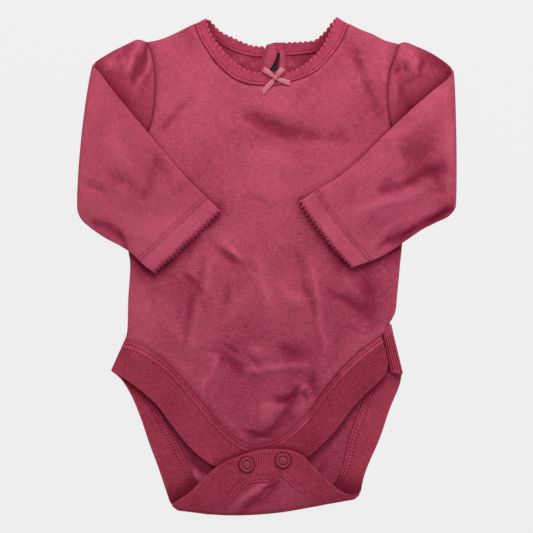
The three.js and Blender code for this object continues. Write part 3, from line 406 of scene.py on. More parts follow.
# Painted shade: a thin dark line beside the forearms' edges with a little painted light further off, a wide painted
# shadow under the cuffs, and a dark line along the armhole seams.
front_shade_and_tone -= 1.0 * beside(flat_xy, 1.4, *arms) - 0.15 * patchy * beside(flat_xy, 8, *arms)
front_shade_and_tone -= 1.2 * beside(flat_xy, 3.2, *cuffs) + 1.0 * patchy * beside(flat_xy, 10, *cuffs)
front_shade_and_tone -= 1.3 * beside(flat_xy, 0.7, *armholes) + 0.2 * beside(flat_xy, 5, *armholes)
front_shade_and_tone = front_shade_and_tone.reshape(front_plan.shape[:2])
front = cloth_piece("front_cloth", upper, upper - [0, 0, 0.85 * JERSEY_THICK], front_plan, jersey,
                    painted_shade_and_tone=front_shade_and_tone)
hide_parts("front_panel")

# Back panel: one piece of the same jersey, which lies on the table. Below the crotch it turns up into a flap that
# closes over the front, and at the neck it is slit for the keyhole that lets the head through.
BACK_NECK = [(-54.5, 185.2), (-41.5, 174.5), (-27, 165), (-11.5, 160.5), (-1, 160), (13.5, 161), (31.5, 162.5),
             (39, 164), (56.5, 175), (62.5, 185.2)]
BACK_LEG_LEFT = [(-108.5, -57), (-100, -75), (-90, -94), (-79.5, -114), (-69, -132), (-58.5, -153), (-44, -185)]
BACK_LEG_RIGHT = [(37.5, -179), (48.5, -170), (56, -158.5), (60, -145), (62.5, -133), (67, -120), (76, -97),
                  (88.5, -62), (93, -44.5)]
CROTCH_FOLD = [(-44, -185), (-28, -185.8), (-10, -185.4), (12, -183.4), (37.5, -179)]
FLAP_SEAM = [(-44, -185), (-28.5, -179.5), (-19.5, -170), (-11.5, -165), (1.5, -163.5), (10.5, -159.5), (14.5, -162.5),
             (23.5, -170), (37.5, -179)]
FLAP_CREASES = [(-27, -184, -1, -166, 0, 3, 1.0), (-19, -187, 9, -165, 0, 2.4, -1.7)]
BACK_CREASES = [(-22, 151, -8, 158, 0, 2, -0.7), (22, 158, 36, 152, 0, 3, -0.8), (18, 153, 30, 149, 0, 2, 0.5),
                (-30, 158, -14, 154, 0, 2, 0.5), (30, 160, 42, 165, 0, 2, -0.7), (-60, -148, -44, -160, 0, 3, -0.8),
                (-56, -160, -44, -168, 0, 3, 0.7), (46, -152, 36, -165, 0, 3, -0.6)]
# The free edges of the bands that lie over the back and shade it.
FRONT_NECK_EDGE = [(-45, 190), (-44, 181), (-36.5, 168.5), (-25, 156), (-13, 148.5), (4, 147), (19.5, 148.5),
                   (29.5, 154), (42, 166.5), (50, 183), (53, 190.8)]
FRONT_LEG_EDGE = [(-118.5, -79.5), (-103, -89), (-84.5, -104.5), (-71.5, -121.5), (-56, -140), (-41.5, -151),
                  (-20, -160.5), (-3.5, -162), (14, -160), (33.5, -143.5), (49.5, -128), (68, -104.5), (89, -84),
                  (94.5, -76)]
FLAP_TOP = 7.4
FLAP_FOLD = FLAP_TOP / 2
WALL = 0.8
BACK_COLUMNS, BACK_ROWS, FLAP_ROWS, FLAP_TURNS = 120, 150, 40, 16
KEYHOLE = {"top": (9, 165), "foot": (5.5, 151.2), "radius": 4.2, "half_slit": 1.4}


def flap_height(y):
    """The flap slopes down a little from its fold to its free edge."""
    return FLAP_TOP - 1.1 * ease(-180, -142, y)


across = end_dense(BACK_COLUMNS)
back_plan = filled(joined(smooth_line(LEFT_SHOULDER), smooth_line(BACK_NECK), smooth_line(RIGHT_SHOULDER)),
                   smooth_line(CROTCH_FOLD), joined(smooth_line(LEFT_ARMHOLE), smooth_line(LEFT_SIDE),
                                                    smooth_line(BACK_LEG_LEFT)),
                   joined(smooth_line(RIGHT_ARMHOLE), smooth_line(RIGHT_SIDE), smooth_line(BACK_LEG_RIGHT)[::-1]),
                   across, end_dense(BACK_ROWS, 0.45))
xy = back_plan.reshape(-1, 2)
swell = (0.15 * soft_noise(xy, 14, 8) + creased(xy, BACK_CREASES)).reshape(back_plan.shape[:2])
inside = [np.dstack([back_plan, JERSEY_THICK + swell])]
outside = [np.dstack([back_plan, np.zeros(back_plan.shape[:2])])]
axis = at_shares(smooth_line(CROTCH_FOLD), across)
for turn in np.linspace(0, np.pi, FLAP_TURNS + 2)[1:-1]:
    for layer, radius in ((inside, FLAP_FOLD - WALL), (outside, FLAP_FOLD)):
        height = np.full(len(axis), FLAP_FOLD - radius * np.cos(turn))
        layer.append(np.column_stack([axis[:, 0], axis[:, 1] - radius * np.sin(turn), height])[None])
flap_end = at_shares(smooth_line(FLAP_SEAM), across * 0.96 + 0.02)
flap_share = np.linspace(0, 1, FLAP_ROWS)[:, None, None]
flap_plan = axis[None] * (1 - flap_share) + flap_end[None] * flap_share
xy = flap_plan.reshape(-1, 2)
lift = (creased(xy, FLAP_CREASES) + 0.15 * soft_noise(xy, 9, 5)).reshape(flap_plan.shape[:2])
lift = lift * 5.5 * (flap_share * (1 - flap_share))[..., 0] + flap_height(flap_plan[..., 1])
lift -= 0.5 * bell((1 - flap_share[..., 0]) * 16, 1.2)
outside.append(np.dstack([flap_plan, lift]))
inside.append(np.dstack([flap_plan, lift - WALL]))
inside, outside = np.vstack(inside), np.vstack(outside)
fall = run_length(inside[:, BACK_COLUMNS // 2])[:, None]
back_uv = np.dstack([inside[..., 0], np.repeat(-fall, inside.shape[1], 1)])
xy = inside[..., :2].reshape(-1, 2)
# Painted shade on the back: darker in the neck opening and towards the bottom, under the edges of the front's bands and
# along the back neck seam, and after the creases, darker in their troughs and lighter on their ridges.
back_shade = (-0.45 * ease(135, 148, xy[:, 1]) - 0.7 * beside(xy, 5, FRONT_NECK_EDGE) - 0.5 * beside(xy, 4, BACK_NECK)
              - 0.7 * beside(xy, 5, FRONT_LEG_EDGE) - 0.6 * ease(-80, -110, xy[:, 1])
              + 1.3 * creased(xy, BACK_CREASES)).reshape(inside.shape[:2])
# The flap is painted darker all over, with painted shade and light after its creases.
on_flap = inside[..., 2] > FLAP_TOP - 2.5
back_shade = np.where(on_flap, -0.7 + 1.0 * creased(xy, FLAP_CREASES).reshape(inside.shape[:2]), back_shade)
cell = (inside[:-1, :-1, :2] + inside[1:, 1:, :2]) / 2
slit_share = np.clip((cell[..., 1] - KEYHOLE["foot"][1]) / (KEYHOLE["top"][1] - KEYHOLE["foot"][1]), 0, 1)
slit_x = KEYHOLE["foot"][0] + (KEYHOLE["top"][0] - KEYHOLE["foot"][0]) * slit_share
slit_half = (KEYHOLE["radius"] - KEYHOLE["half_slit"]) * (1 - slit_share) ** 0.7 + KEYHOLE["half_slit"]
below = np.hypot(cell[..., 0] - KEYHOLE["foot"][0], cell[..., 1] - KEYHOLE["foot"][1]) < KEYHOLE["radius"]
slit = below | ((np.abs(cell[..., 0] - slit_x) < slit_half) & (cell[..., 1] > KEYHOLE["foot"][1]))
slit[BACK_ROWS // 3:] = False
back = cloth_piece("back_cloth", outside, inside, back_uv, jersey, drop=slit, painted_shade_and_tone=back_shade)
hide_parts("back_panel")

# Sleeves: each is one piece of jersey sewn into a tube, gathered a little at its head and set into the armhole.
# Both are folded at the elbow so that the forearm lies over the chest, and end in a turned hem.
SLEEVE_HALF = 1.6
SLEEVE_FOLD = 3.6
SLEEVE_CLEAR = 0.8
CUFF_OPEN = 1.1
HEM_ROWS = (12.6, 15.3)
AROUND = 72  # points along each layer of the tube
UPPER_SECTIONS, FORE_SECTIONS, ELBOW_TURNS = 56, 110, 21
# The rows of upper and fore are sections of the flat tube, from x, y to x, y, and then its bow. The last section of the
# upper arm is the first one of the forearm. The creases are as on the front. The shade rows have the creases' form but
# give no height: they are painted shade, and painted light where their rise is positive.
SLEEVES = {
    "left": {
        "armhole": LEFT_ARMHOLE,
        "upper": [(-98, 173, -107, 80, 9), (-107.5, 169, -116, 66, 5), (-118, 163.8, -126, 54.5, 2),
                  (-127.8, 157.8, -134, 46, 1)],
        "fore": [(-133.4, 153.7, -144.9, 45, -1.8), (-126.2, 146.2, -141, 36, -1.5), (-117, 134, -133.5, 29, 0),
                 (-105.5, 120, -122.5, 21.5, 0), (-93, 105, -112, 16, 0), (-79.5, 89, -102.5, 10, 0),
                 (-65, 72, -97, 4.5, 0), (-54, 60.5, -93, 0.8, 1), (-44.5, 51.5, -89.5, -2, 1.5),
                 (-35.8, 43, -86, -4, 1.5)],
        "head_creases": [
            (-92, 168, -98, 147, 0, 2.4, -1.5), (-105.5, 167, -114, 156, 0, 3, -1.3),
            (-98.5, 169, -108.5, 148, 0, 3.5, 1.7), (-114, 157, -123, 149, 0, 5, 0.8),
            (-90, 150, -96, 128, 0, 2.4, -0.7), (-95, 150, -103, 132, 0, 4, 0.6),
            (-99, 160, -104, 140, 0, 2.4, -1.0), (-112, 165, -108, 150, 0, 3, 0.7),
            (-89.5, 163, -92, 147, 0, 1.5, 1.3), (-92.5, 163, -103, 143.5, 0, 3.2, -1.8),
            (-92, 170.5, -93.8, 162, 0, 1.1, -1.6), (-91, 169, -90.5, 162, 0, 1.4, 1.4),
            (-100.5, 167, -111.5, 146, 0, 3, -1.0)],
        "shade": [(-132, 34, -110, 22, 0, 3.2, -1.0), (-111, 23, -105, 12, 0, 3, -0.9),
                  (-126, 150, -105, 124, 0, 6, -0.5), (-104, 88, -90, 66, 0, 12, -0.25),
                  (-131, 66, -120, 62, 0, 4, -0.4), (-78, 76, -72, 68, 0, 4, -0.4),
                  (-122, 44, -76, 22, 0, 15, 0.55), (-100, 48, -96, 44, 0, 6, -0.5), (-84, 84, -80, 72, 0, 4, -0.4)],
        "fore_creases": [
            (-81, 82, -94.5, 54, 0, 4.5, -0.9), (-94.5, 54, -121, 72, 0, 5, -0.8),
            (-67.5, 56.5, -60.5, 62.5, 0, 3.5, -0.9), (-138, 63, -124, 58, 0, 2.6, -0.8),
            (-108, 62, -112, 50, 0, 4, 0.6), (-130, 33, -112, 24, 0, 3, -1.4), (-112, 25, -106, 14, 0, 2.6, -1.2),
            (-120, 100, -108, 78, 0, 8, 0.5), (-130, 110, -134, 80, 0, 7, -0.4)]},
    "right": {
        "armhole": RIGHT_ARMHOLE,
        "upper": [(105.5, 171, 109, 80, -8), (114, 168, 118, 67, -5), (126, 162.5, 129.5, 56, -2),
                  (136.5, 155.5, 137.5, 47, -1)],
        "fore": [(143.3, 149.5, 144.9, 45, 0.5), (137.5, 142.5, 138.5, 38.2, 1), (126.5, 133.5, 129.5, 33.6, 0),
                 (113.5, 122.5, 119.5, 28.6, 0), (100.5, 110.5, 109.5, 22, 0), (86, 96.5, 100, 15.5, 0),
                 (71, 81.5, 90.5, 9.5, 0), (54, 67.5, 81.5, 5, -1.5), (39, 58.5, 73, 2, -2.5),
                 (26, 50, 65.5, -0.5, -3.5)],
        "head_creases": [
            (105, 164, 112, 150, 0, 7.5, 2.3), (119.5, 157, 117.5, 147, -2, 2.6, -1.7),
            (116.5, 145, 108, 139, -1, 2.8, -1.9), (99, 152, 98.5, 148, 0, 1.9, -1.6),
            (104.5, 153, 105, 148, 0, 1.9, -1.5), (101, 161, 104, 154, 0, 1.6, 0.8),
            (105, 127, 112, 119, 0, 6, -1.1), (97, 142, 98.5, 128, 0, 1.8, 0.9), (124, 160, 134, 152, 0, 6, -0.9),
            (104, 137, 103, 128, 0, 3, -0.9)],
        "shade": [(92, 19, 118, 33, -0.5, 3.2, -1.9), (114, 31, 141, 44.5, -0.5, 3.4, -1.9),
                  (89, 56.5, 112, 66.5, 0, 3.2, -0.9), (112, 67, 132, 75, 0, 5, -1.2),
                  (84, 13, 92, 20, 0, 2.2, -1.2), (100, 100, 116, 84, 0, 9, -0.45),
                  (128, 158, 138, 150, 0, 6, -0.5), (106, 119, 112, 118, 0, 9, -0.5),
                  (138, 130, 141, 60, 0, 5, 0.7), (75, 38, 84, 32, 0, 6, -0.35)],
        "fore_creases": [
            (88.5, 56.5, 112, 66, 0, 3.4, -1.7), (71, 42, 121, 58, 0, 4, 1.0), (112, 67, 132, 76, 0, 5.5, -1.7),
            (127, 71, 135, 60, 0, 4, -1.0), (102, 88, 111.5, 78, 0, 3, -0.9), (88.5, 93, 91.5, 82.5, 0, 4, -0.8),
            (73, 23, 80, 21, 0, 6, -0.8), (81, 17, 108.5, 37, 2, 3, 0.8), (123, 56, 134, 58, 0, 3, -0.8),
            (89, 59, 102, 72, 0, 2.4, -0.7), (64, 59, 62, 44, 0, 5, -0.6), (95, 17, 141, 44, -1.5, 3, -1.3),
            (125, 110, 130, 80, 0, 8, 0.5), (136, 135, 88, 88, 0, 9, 1.3), (126, 98, 96, 66, 0, 10, -1.2)]}}


def inside_outline(xy, outline):
    """Distance to a closed outline, positive inside it."""
    ring = np.vstack([outline, outline[:1]])
    a, b = ring[:-1], ring[1:]
    hit = np.zeros(len(xy), bool)
    for (ax, ay), (bx, by) in zip(a, b):
        if ay != by:
            cross = ((ay > xy[:, 1]) != (by > xy[:, 1])) & (xy[:, 0] < ax + (bx - ax) * (xy[:, 1] - ay) / (by - ay))
            hit ^= cross
    return np.where(hit, 1, -1) * line_distance(xy, ring)


body_outline = np.vstack([smooth_line(FRONT_NECK, 3), right_edge, smooth_line(FRONT_LEG, 2)[::-1], left_edge[::-1]])
layer_share = (1 - np.cos(np.pi * np.arange(AROUND + 1) / AROUND)) / 2
ring_side = np.sin(np.pi * np.arange(2 * AROUND) / AROUND)
ring_height = -np.sign(ring_side) * np.abs(ring_side) ** 0.45  # the outer layer, under the upper arm, is below


def bowed(rows, shares):
    """The x, y at those shares across each row of a sleeve's table."""
    table = np.array(rows, float)
    line = table[:, None, :2] * (1 - shares[:, None]) + table[:, None, 2:4] * shares[:, None]
    line[..., 0] += table[:, 4:] * 4 * shares * (1 - shares)
    return line


def between_rows(lines, count, bunch=0.0):
    """More sections, set smoothly between those of the table."""
    n, k = lines.shape[:2]
    return at_shares(smooth_line(lines.reshape(n, -1), 12), end_dense(count, bunch)).reshape(count, k, 2)


def cuff_distance(rings):
    """How far each point is from the cuff, along the sleeve."""
    steps = np.linalg.norm(np.diff(rings, axis=0), axis=-1)
    return np.vstack([np.cumsum(steps[::-1], 0)[::-1], np.zeros((1, rings.shape[1]))])


sleeve_rings = {}
for side, cut in SLEEVES.items():
    sign = -1 if side == "left" else 1
    head = at_shares(smooth_line(cut["armhole"]), layer_share)[None] - [0.7 * sign, 0]
    rows_up = bowed(cut["upper"] + cut["fore"][:1], layer_share)
    up = between_rows(np.vstack([head, rows_up]), UPPER_SECTIONS, 0.65)
    fore = between_rows(bowed(cut["fore"], layer_share), FORE_SECTIONS, 0.2)
    pick = np.concatenate([np.arange(AROUND + 1), np.arange(AROUND - 1, 0, -1)])
    up, fore = up[:, pick], fore[:, pick]
    arm_outline = np.vstack([up[:, 0], up[::-1, AROUND]])
    elbow = up[-1].copy()
    leads = []
    for layer, run, ahead in ((up, run_length(up[::-1, AROUND // 2])[::-1], 1),
                              (fore, run_length(fore[:, AROUND // 2]), -1)):
        lead = unit(ahead * np.gradient(layer, axis=0))
        leads.append(lead[-1 if ahead == 1 else 0])
        layer -= SLEEVE_FOLD * lead * np.exp(-run / 9)[:, None, None]
    low = ring_height[None] < 0
    from_cuff = cuff_distance(fore)
    ahead = unit(fore[-1] - fore[-4])
    tucked = 1.9 * np.clip(-ring_height, 0, 1) - 0.5 * soft_noise(fore[-1], 15, 43)
    fore = fore - (ahead * tucked[:, None])[None] * np.exp(-from_cuff / 9)[..., None]
    xy = up.reshape(-1, 2)
    # Painted shade on the sleeve head: darker in the creases' troughs and lighter on their ridges, a little darker all
    # over, and darkest beside the forearm's edge and along the armhole seam.
    head_shade = (0.75 * np.clip(creased(xy, cut["head_creases"]), -1.8, 1.3) + creased(xy, cut["shade"]) - 0.35
               - 0.9 * beside(xy, 3.0, ARM_EDGES[side]) - 0.8 * beside(xy, 10, ARM_EDGES[side])
               - 1.8 * beside(xy, 0.7, cut["armhole"])).reshape(up.shape[:2])
    puff = 1.5 * creased(xy, cut["head_creases"]) + 0.25 * soft_noise(xy, 10, 11) + 0.3 * soft_noise(xy, 22, 12)
    puff = np.maximum(puff, -1.3 + 0.15 * puff)
    head_d = line_distance(xy, smooth_line(cut["armhole"], 5)).reshape(up.shape[:2])
    puff = puff.reshape(up.shape[:2]) * ~low * (1 - np.exp(-head_d / 3)) - 0.5 * bell(head_d, 1.3) * ~low
    z = SLEEVE_HALF + ring_height * (SLEEVE_HALF + np.where(low, 0, puff))
    parts = [np.dstack([up, z])[:-1]]
    radius = SLEEVE_FOLD - SLEEVE_HALF - ring_height * SLEEVE_HALF
    for turn in np.linspace(0, np.pi, ELBOW_TURNS + 1)[:-1]:
        out = unit(leads[0] * (1 - turn / np.pi) + leads[1] * turn / np.pi)
        place = elbow + out * (radius * np.sin(turn) - SLEEVE_FOLD)[:, None]
        parts.append(np.column_stack([place, SLEEVE_FOLD - radius * np.cos(turn)])[None])
    xy = fore.reshape(-1, 2)
    body = inside_outline(xy, body_outline)
    arm = inside_outline(xy, arm_outline)
    front_at = np.where(body > 0, front_top(xy), 2.3 * np.exp(np.minimum(body, 0) / 6))
    arm_at = 2 * SLEEVE_HALF * np.where(arm > 0, 1, np.exp(np.minimum(arm, 0) / 5))
    rest = np.maximum(front_at, arm_at) + np.maximum(0, 0.6 - np.abs(front_at - arm_at)) / 2
    rest = rest.reshape(fore.shape[:2])
    for _ in range(10):
        rest[1:-1] = (rest[:-2] + 2 * rest[1:-1] + rest[2:]) / 4
        rest = (np.roll(rest, 1, 1) + 2 * rest + np.roll(rest, -1, 1)) / 4
    to_cuff = from_cuff[:, AROUND // 2]
    share = (1 - to_cuff / to_cuff[0])[:, None]
    puff = 1.6 * creased(xy, cut["fore_creases"]) + 0.6 * soft_noise(xy, 22, 21) + 0.25 * soft_noise(xy, 9, 22)
    puff = np.maximum(puff, -1.3 + 0.15 * puff).reshape(fore.shape[:2]) * (1 - 0.6 * ease(16, 6, from_cuff))
    hem = 0.25 * ease(HEM_ROWS[1] + 1, HEM_ROWS[1], from_cuff)
    groove = sum(bell(from_cuff - deep, 0.6) for deep in HEM_ROWS)
    hem = hem - 0.22 * groove
    half = SLEEVE_HALF + CUFF_OPEN / 2 * ease(0.6, 1, share)
    middle = rest + SLEEVE_CLEAR + half
    start = SLEEVE_FOLD * 2 - SLEEVE_HALF
    middle = start + (middle - start) * ease(0, 0.12, share)
    middle = middle + 0.8 * (1 + soft_noise(xy, 19, 44).reshape(fore.shape[:2])) * ease(0.82, 1, share)
    z = middle - ring_height * (half + np.where(low, puff + hem, 0))
    parts.append(np.dstack([fore, z]))
    rings = np.vstack(parts)
    normal = grid_normals(rings, closed=True)
    centre = rings.mean(1, keepdims=True)
    if np.einsum("ijk,ijk->", normal, rings - centre) < 0:
        normal = -normal
    along = run_length(rings[:, AROUND // 2])
    girth = run_length(np.vstack([rings[40], rings[40][:1]]))
    sleeve_uv = np.dstack([np.repeat(girth[None], len(rings), 0), np.repeat(along[:, None], len(girth), 1)])
    shade_and_tone_values = np.zeros(rings.shape[:2])
    # Painted shade and light on the forearm: after its creases and its shade rows, lighter towards the cuff and darker
    # in the hem's stitch grooves, with some random tone.
    fore_shade_and_tone = (0.6 * np.clip(creased(xy, cut["fore_creases"]), -1.3, 1.0) + creased(xy, cut["shade"])
                 + 0.3 * soft_noise(xy, 24, 23)).reshape(fore.shape[:2])
    shade_and_tone_values[-FORE_SECTIONS:] = fore_shade_and_tone + 0.35 * ease(0.45, 0.9, share) - 0.8 * groove
    shade_and_tone_values[:len(up) - 1] = np.where(low, 0, head_shade)[:-1]
    sleeve = cloth_piece(f"sleeve_{side}_cloth", rings, rings - normal * WALL, sleeve_uv, jersey,
                         closed=True, painted_shade_and_tone=shade_and_tone_values)
    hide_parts(f"sleeve_{side}")
    sleeve_rings[side] = rings

# Neck band: one folded strip of fine rib with a scalloped free edge. It is sewn round the neck opening from one side
# of the keyhole to the other, and turns over where the shoulders lie folded.
BACK_NECK_LEFT_EDGE = [(-1.5, 167.5), (-11.5, 168.5), (-26, 174.5), (-35.5, 179.5), (-45, 190)]
BACK_NECK_RIGHT_EDGE = [(53, 190.8), (45, 179.5), (37, 172.5), (31.5, 171.5), (13.5, 170.5)]
NECK_FOLD = 1.95
BAND_THICK = 1.6
NECK_RIB_PITCH = 1.4
NECK_RIB_RISE = 0.18
NECK_ROWS = (2.2,)
NECK_SHOW = 0.35  # how open the neck band's rib is
# The rib's colour at the two ends of its tone. The mix between them gives its random tone, and also its painted shade
# and painted light.
RIB_DEEP = (0.225, 0.017, 0.038)
RIB_LIT = (0.510, 0.076, 0.132)
SCALLOP_PITCH = 4.1
SEAM_TUCK = 0.8  # how far a band's seam edge goes under the panel
SEAM_RIDGE = 0.12
SEAM_GROOVE = 0.8
BAND_TURNS = 12  # sections round a fold
STITCH_PITCH = 2.5


rib_knit = knit_material("cotton_rib", RIB_DEEP, RIB_LIT, wale=1.7, course=0.8, depth=0.25, slubs=0.65)


def with_height(xy, z):
    return np.column_stack([xy, np.broadcast_to(z, len(xy))])


def facing(count, z):
    return np.tile([0.0, 0.0, float(z)], (count, 1))


def flat_run(seam, edge, seam_z, edge_z, into):
    """Stations of a band that lies flat with its seam and its edge at those heights."""
    return with_height(seam, seam_z), with_height(edge, edge_z), facing(len(seam), into)


def folded_over(seam, edge, outward, radius, back=False, edge_share=1.0):
    """Stations of a band round a fold, as seam points, edge points and the way into its thickness."""
    turns = np.linspace(0, np.pi, BAND_TURNS + 2)[1:-1]
    if back:
        turns = turns[::-1]
    made = []
    for turn in turns:
        into = np.array([-outward[0] * np.sin(turn), -outward[1] * np.sin(turn), np.cos(turn)])
        points = [np.append(np.asarray(p[:2]) + np.asarray(outward) * radius * share * np.sin(turn),
                            radius - radius * np.cos(turn)) for p, share in ((seam, 1), (edge, edge_share))]
        made.append((points[0], points[1], into))
    return tuple(np.array(column) for column in zip(*made))


def evened(values, reach):
    """A running average over that many values to either side."""
    return np.convolve(np.pad(values, reach, mode="edge"), np.ones(2 * reach + 1) / (2 * reach + 1), "valid")


def band(name, stations, pitch, rise, rows, show, painted_shade, corners, scallop=0.0, columns=10, per_rib=6, square=0.0):
    """A folded strip of rib. Its wales run from the seam to the rounded free edge. stations is a list of (seam, edge,
    into) arrays of its outer face, rows the depths of its stitching, show how open the rib is at each point of its
    edge, the argument after show the shade painted into its colour at each point, corners the places, x, y, reach and
    cut, where the edge is rounded off, and square how far the wales keep square to the seam where the stations don't.
    Returns the piece and a function that gives lines on it."""
    seam, edge, into = (np.vstack(column) for column in zip(*stations))
    run = run_length((seam + edge) / 2)
    at = np.linspace(0, run[-1], int(run[-1] / pitch * per_rib))
    seam, edge, into = (sampled(column, run, at) for column in (seam, edge, into))
    into = unit(into)
    width = np.linalg.norm(edge - seam, axis=1)
    way = (edge - seam) / width[:, None]
    step = np.gradient(seam, axis=0)
    lean = square * at[1] * (way * step).sum(1) / (step * step).sum(1) if square else np.zeros(len(at))
    lean = evened(lean, 45)[:, None]
    edge_run = run_length(edge)
    arch = np.abs(np.sin(np.pi * edge_run / SCALLOP_PITCH))
    for x, y, reach, cut in corners:
        width = width - cut * bell(np.hypot(edge[:, 0] - x, edge[:, 1] - y), reach)
    width = width + scallop * (arch**0.8 - 0.45)
    radius = BAND_THICK / 2 * (0.5 + 0.5 * arch if scallop else 1)
    near = [-SEAM_TUCK, -0.3, 0.15, 0.55, 0.95, 1.4] + [d + k for d in rows for k in (-0.45, 0, 0.45)]
    if square:
        near += list(np.linspace(rows[0] + 0.45, rows[1] - 0.45, 6)[1:-1])
    near = sorted(d for d in near if d > -1)
    last = near[-1] + 0.5
    a = np.column_stack([np.full(len(width), d) for d in near]
                        + [last + (width - radius - last) * k for k in np.linspace(0.06, 1, columns)])
    sewn = ease(rows[-1] + 0.9, rows[-1], a)
    lift = SEAM_RIDGE * bell(a - 0.9, 0.7) + 0.15 * sewn - SEAM_GROOVE * ease(0.5, -SEAM_TUCK, a)
    pucker = 0.55 + 0.45 * np.cos(2 * np.pi * at / STITCH_PITCH)
    for deep in rows:
        lift -= 0.42 * bell(a - deep, 0.45) * pucker[:, None]
    open_rib = show(edge)[:, None]
    wave = (0.5 - 0.5 * np.cos(2 * np.pi * (at[:, None] + lean * a) / pitch)) * open_rib * (1 - 0.5 * sewn)
    rib = rise * wave
    notch = np.zeros_like(a)
    if scallop:
        notch = bell(arch, 0.4)[:, None] * bell(width[:, None] - a, 1.9)
        rib = rib + 0.38 * notch
    b_out, b_in = rib - lift, BAND_THICK - rib + lift
    arc = np.radians([66, 42, 14])
    around = radius - rib[:, -1] * 0.7
    round_a = np.column_stack([width - radius + around * np.cos(t) for t in arc])
    round_out = np.column_stack([BAND_THICK / 2 - around * np.sin(t) for t in arc])
    a, b_out, b_in = np.hstack([a, round_a]), np.hstack([b_out, round_out]), np.hstack([b_in, BAND_THICK - round_out])
    outer = seam[:, None] + way[:, None] * a[..., None] + into[:, None] * b_out[..., None]
    inner = seam[:, None] + way[:, None] * a[..., None] + into[:, None] * b_in[..., None]
    # Painted shade: darker along the seam, in the stitch rows, in the rib's grooves and in the scallops' notches, and
    # the shade that the caller paints; the free edge is lighter, and so is the rib where it is stretched open.
    shade_and_tone_values = 0.3 * bell(width[:, None] - a, 1.2) - 1.2 * bell(a + 0.2, 0.5)
    for deep in rows:
        shade_and_tone_values = shade_and_tone_values - 1.3 * bell(a - deep, 0.5) * pucker[:, None]
    rib_groove_shade = np.pad(1.9 * wave * (1 - 0.6 * sewn) + 0.9 * notch, ((0, 0), (0, len(arc))), mode="edge")
    shade_and_tone_values = shade_and_tone_values - rib_groove_shade + 0.95 * open_rib + painted_shade(outer.reshape(-1, 3)).reshape(shade_and_tone_values.shape)
    uv = np.dstack([at[:, None] + lean * a, a])
    piece = cloth_piece(name, outer, inner, uv, rib_knit, painted_shade_and_tone=shade_and_tone_values)

    def on_face(deep, inside=False):
        """A line at that depth from the seam, and the way out of the cloth along it."""
        out = into if inside else -into
        level = BAND_THICK if inside else 0.0
        sits = SEAM_RIDGE * bell(deep - 0.9, 0.7) - 0.12
        return seam + way * deep + into * level + out * (sits - rise * 0.25), out

    return piece, on_face


def trimmed(seam, edge, start=0.0, end=0.0, count=160):
    """Even points along both lines of a band, leaving out a share at the start and the end."""
    shares = np.linspace(start, 1 - end, count)
    return at_shares(smooth_line(seam), shares), at_shares(smooth_line(edge), shares)


left_seam, left_rim = trimmed(BACK_NECK[4::-1], BACK_NECK_LEFT_EDGE, 0, 0.03)
right_seam, right_rim = trimmed(BACK_NECK[:4:-1], BACK_NECK_RIGHT_EDGE, 0.03, 0)
over_seam, over_rim = trimmed(FRONT_NECK, FRONT_NECK_EDGE, 0.013, 0.013, 400)
low = 2 * NECK_FOLD
from_end = np.minimum(np.linspace(0, 1, len(over_rim)), np.linspace(1, 0, len(over_rim)))
seam_z = low + (np.maximum(low, front_base(over_seam) + BAND_THICK) - low) * ease(0, 0.2, from_end)
shoulder = []
for s, e, sign in ((over_seam[0], over_rim[0], 1), (over_seam[-1], over_rim[-1], -1)):
    out = unit(np.array([s[1] - e[1], e[0] - s[0]]) * sign)
    shoulder.append((s - out * 0.3, e - out * 0.3, out))
neck_stations = [
    flat_run(left_seam, left_rim, 0, 0, 1),
    folded_over(*shoulder[0], NECK_FOLD),
    flat_run(over_seam, over_rim, evened(seam_z, 6), low + 1.7 * ease(0.02, 0.22, from_end), -1),
    folded_over(*shoulder[1], NECK_FOLD, back=True),
    flat_run(right_seam, right_rim, 0, 0, 1)]
# Painted shade on the neck band: its parts on the back are darker, and darkest under the front band's edge.
neck_band, neck_face = band(
    "neck_band_rib", neck_stations, NECK_RIB_PITCH, NECK_RIB_RISE, NECK_ROWS, scallop=1.15, columns=9,
    show=lambda edge: np.full(len(edge), NECK_SHOW),
    painted_shade=lambda at: np.where(at[:, 2] < 2.5, -0.35 - 0.9 * beside(at[:, :2], 5, FRONT_NECK_EDGE), 0),
    corners=[(*over_rim[0], 3, 0.8), (*over_rim[-1], 3, 0.8)])
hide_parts("neck_band")

# Leg bands: rib knit folded double along its free edge and sewn round the legs with two rows of stitches. The front
# one goes from hip to hip. The back one goes down a leg, round the end of the flap, and up the other leg.
BACK_LEG_LEFT_EDGE = [(-118, -80), (-111, -86), (-103.4, -98), (-95.6, -116.7), (-89.5, -134.9), (-82.7, -153.1),
                      (-73.2, -181.5)]
BACK_LEG_RIGHT_EDGE = [(72, -172.8), (73.5, -164), (76.8, -153.5), (86.5, -131), (94, -109), (101, -92),
                       (103.8, -83.5)]
FLAP_EDGE = [(-73.2, -181.5), (-58.5, -171.5), (-41.5, -155), (-32.5, -149), (-19.5, -143.5), (-6, -139.5),
             (10.5, -139), (21, -140.5), (28.5, -144.5), (35.5, -152), (52.5, -167.5), (62, -173), (72, -172.8)]
HIP_FRONT_END = [(88.6, -52.4), (94.2, -80.5)]
HIP_FOLD = 2.1
RIB_PITCH = 1.7
RIB_RISE = 0.42
LEG_ROWS = (2.1, 5.4)
STUDS = {"left": (-15, -150.7), "right": (12.5, -147.5)}
seam_xy, rim_xy = trimmed(FRONT_LEG, FRONT_LEG_EDGE, count=500)
crotch = ease(45, 20, np.abs(rim_xy[:, 0] + 2)) * ease(-120, -150, rim_xy[:, 1])
seam_z = evened(np.maximum(1.95, front_base(seam_xy)) + BAND_THICK, 10)
share = np.linspace(0, 1, len(rim_xy))
rim_lift = ease(0, 0.12, share) * ease(1, 0.93, share) * (1 - crotch)
rim_z = 2.6 - 0.55 * crotch + BAND_THICK + (1.5 + 0.5 * soft_noise(rim_xy, 26, 31)) * rim_lift
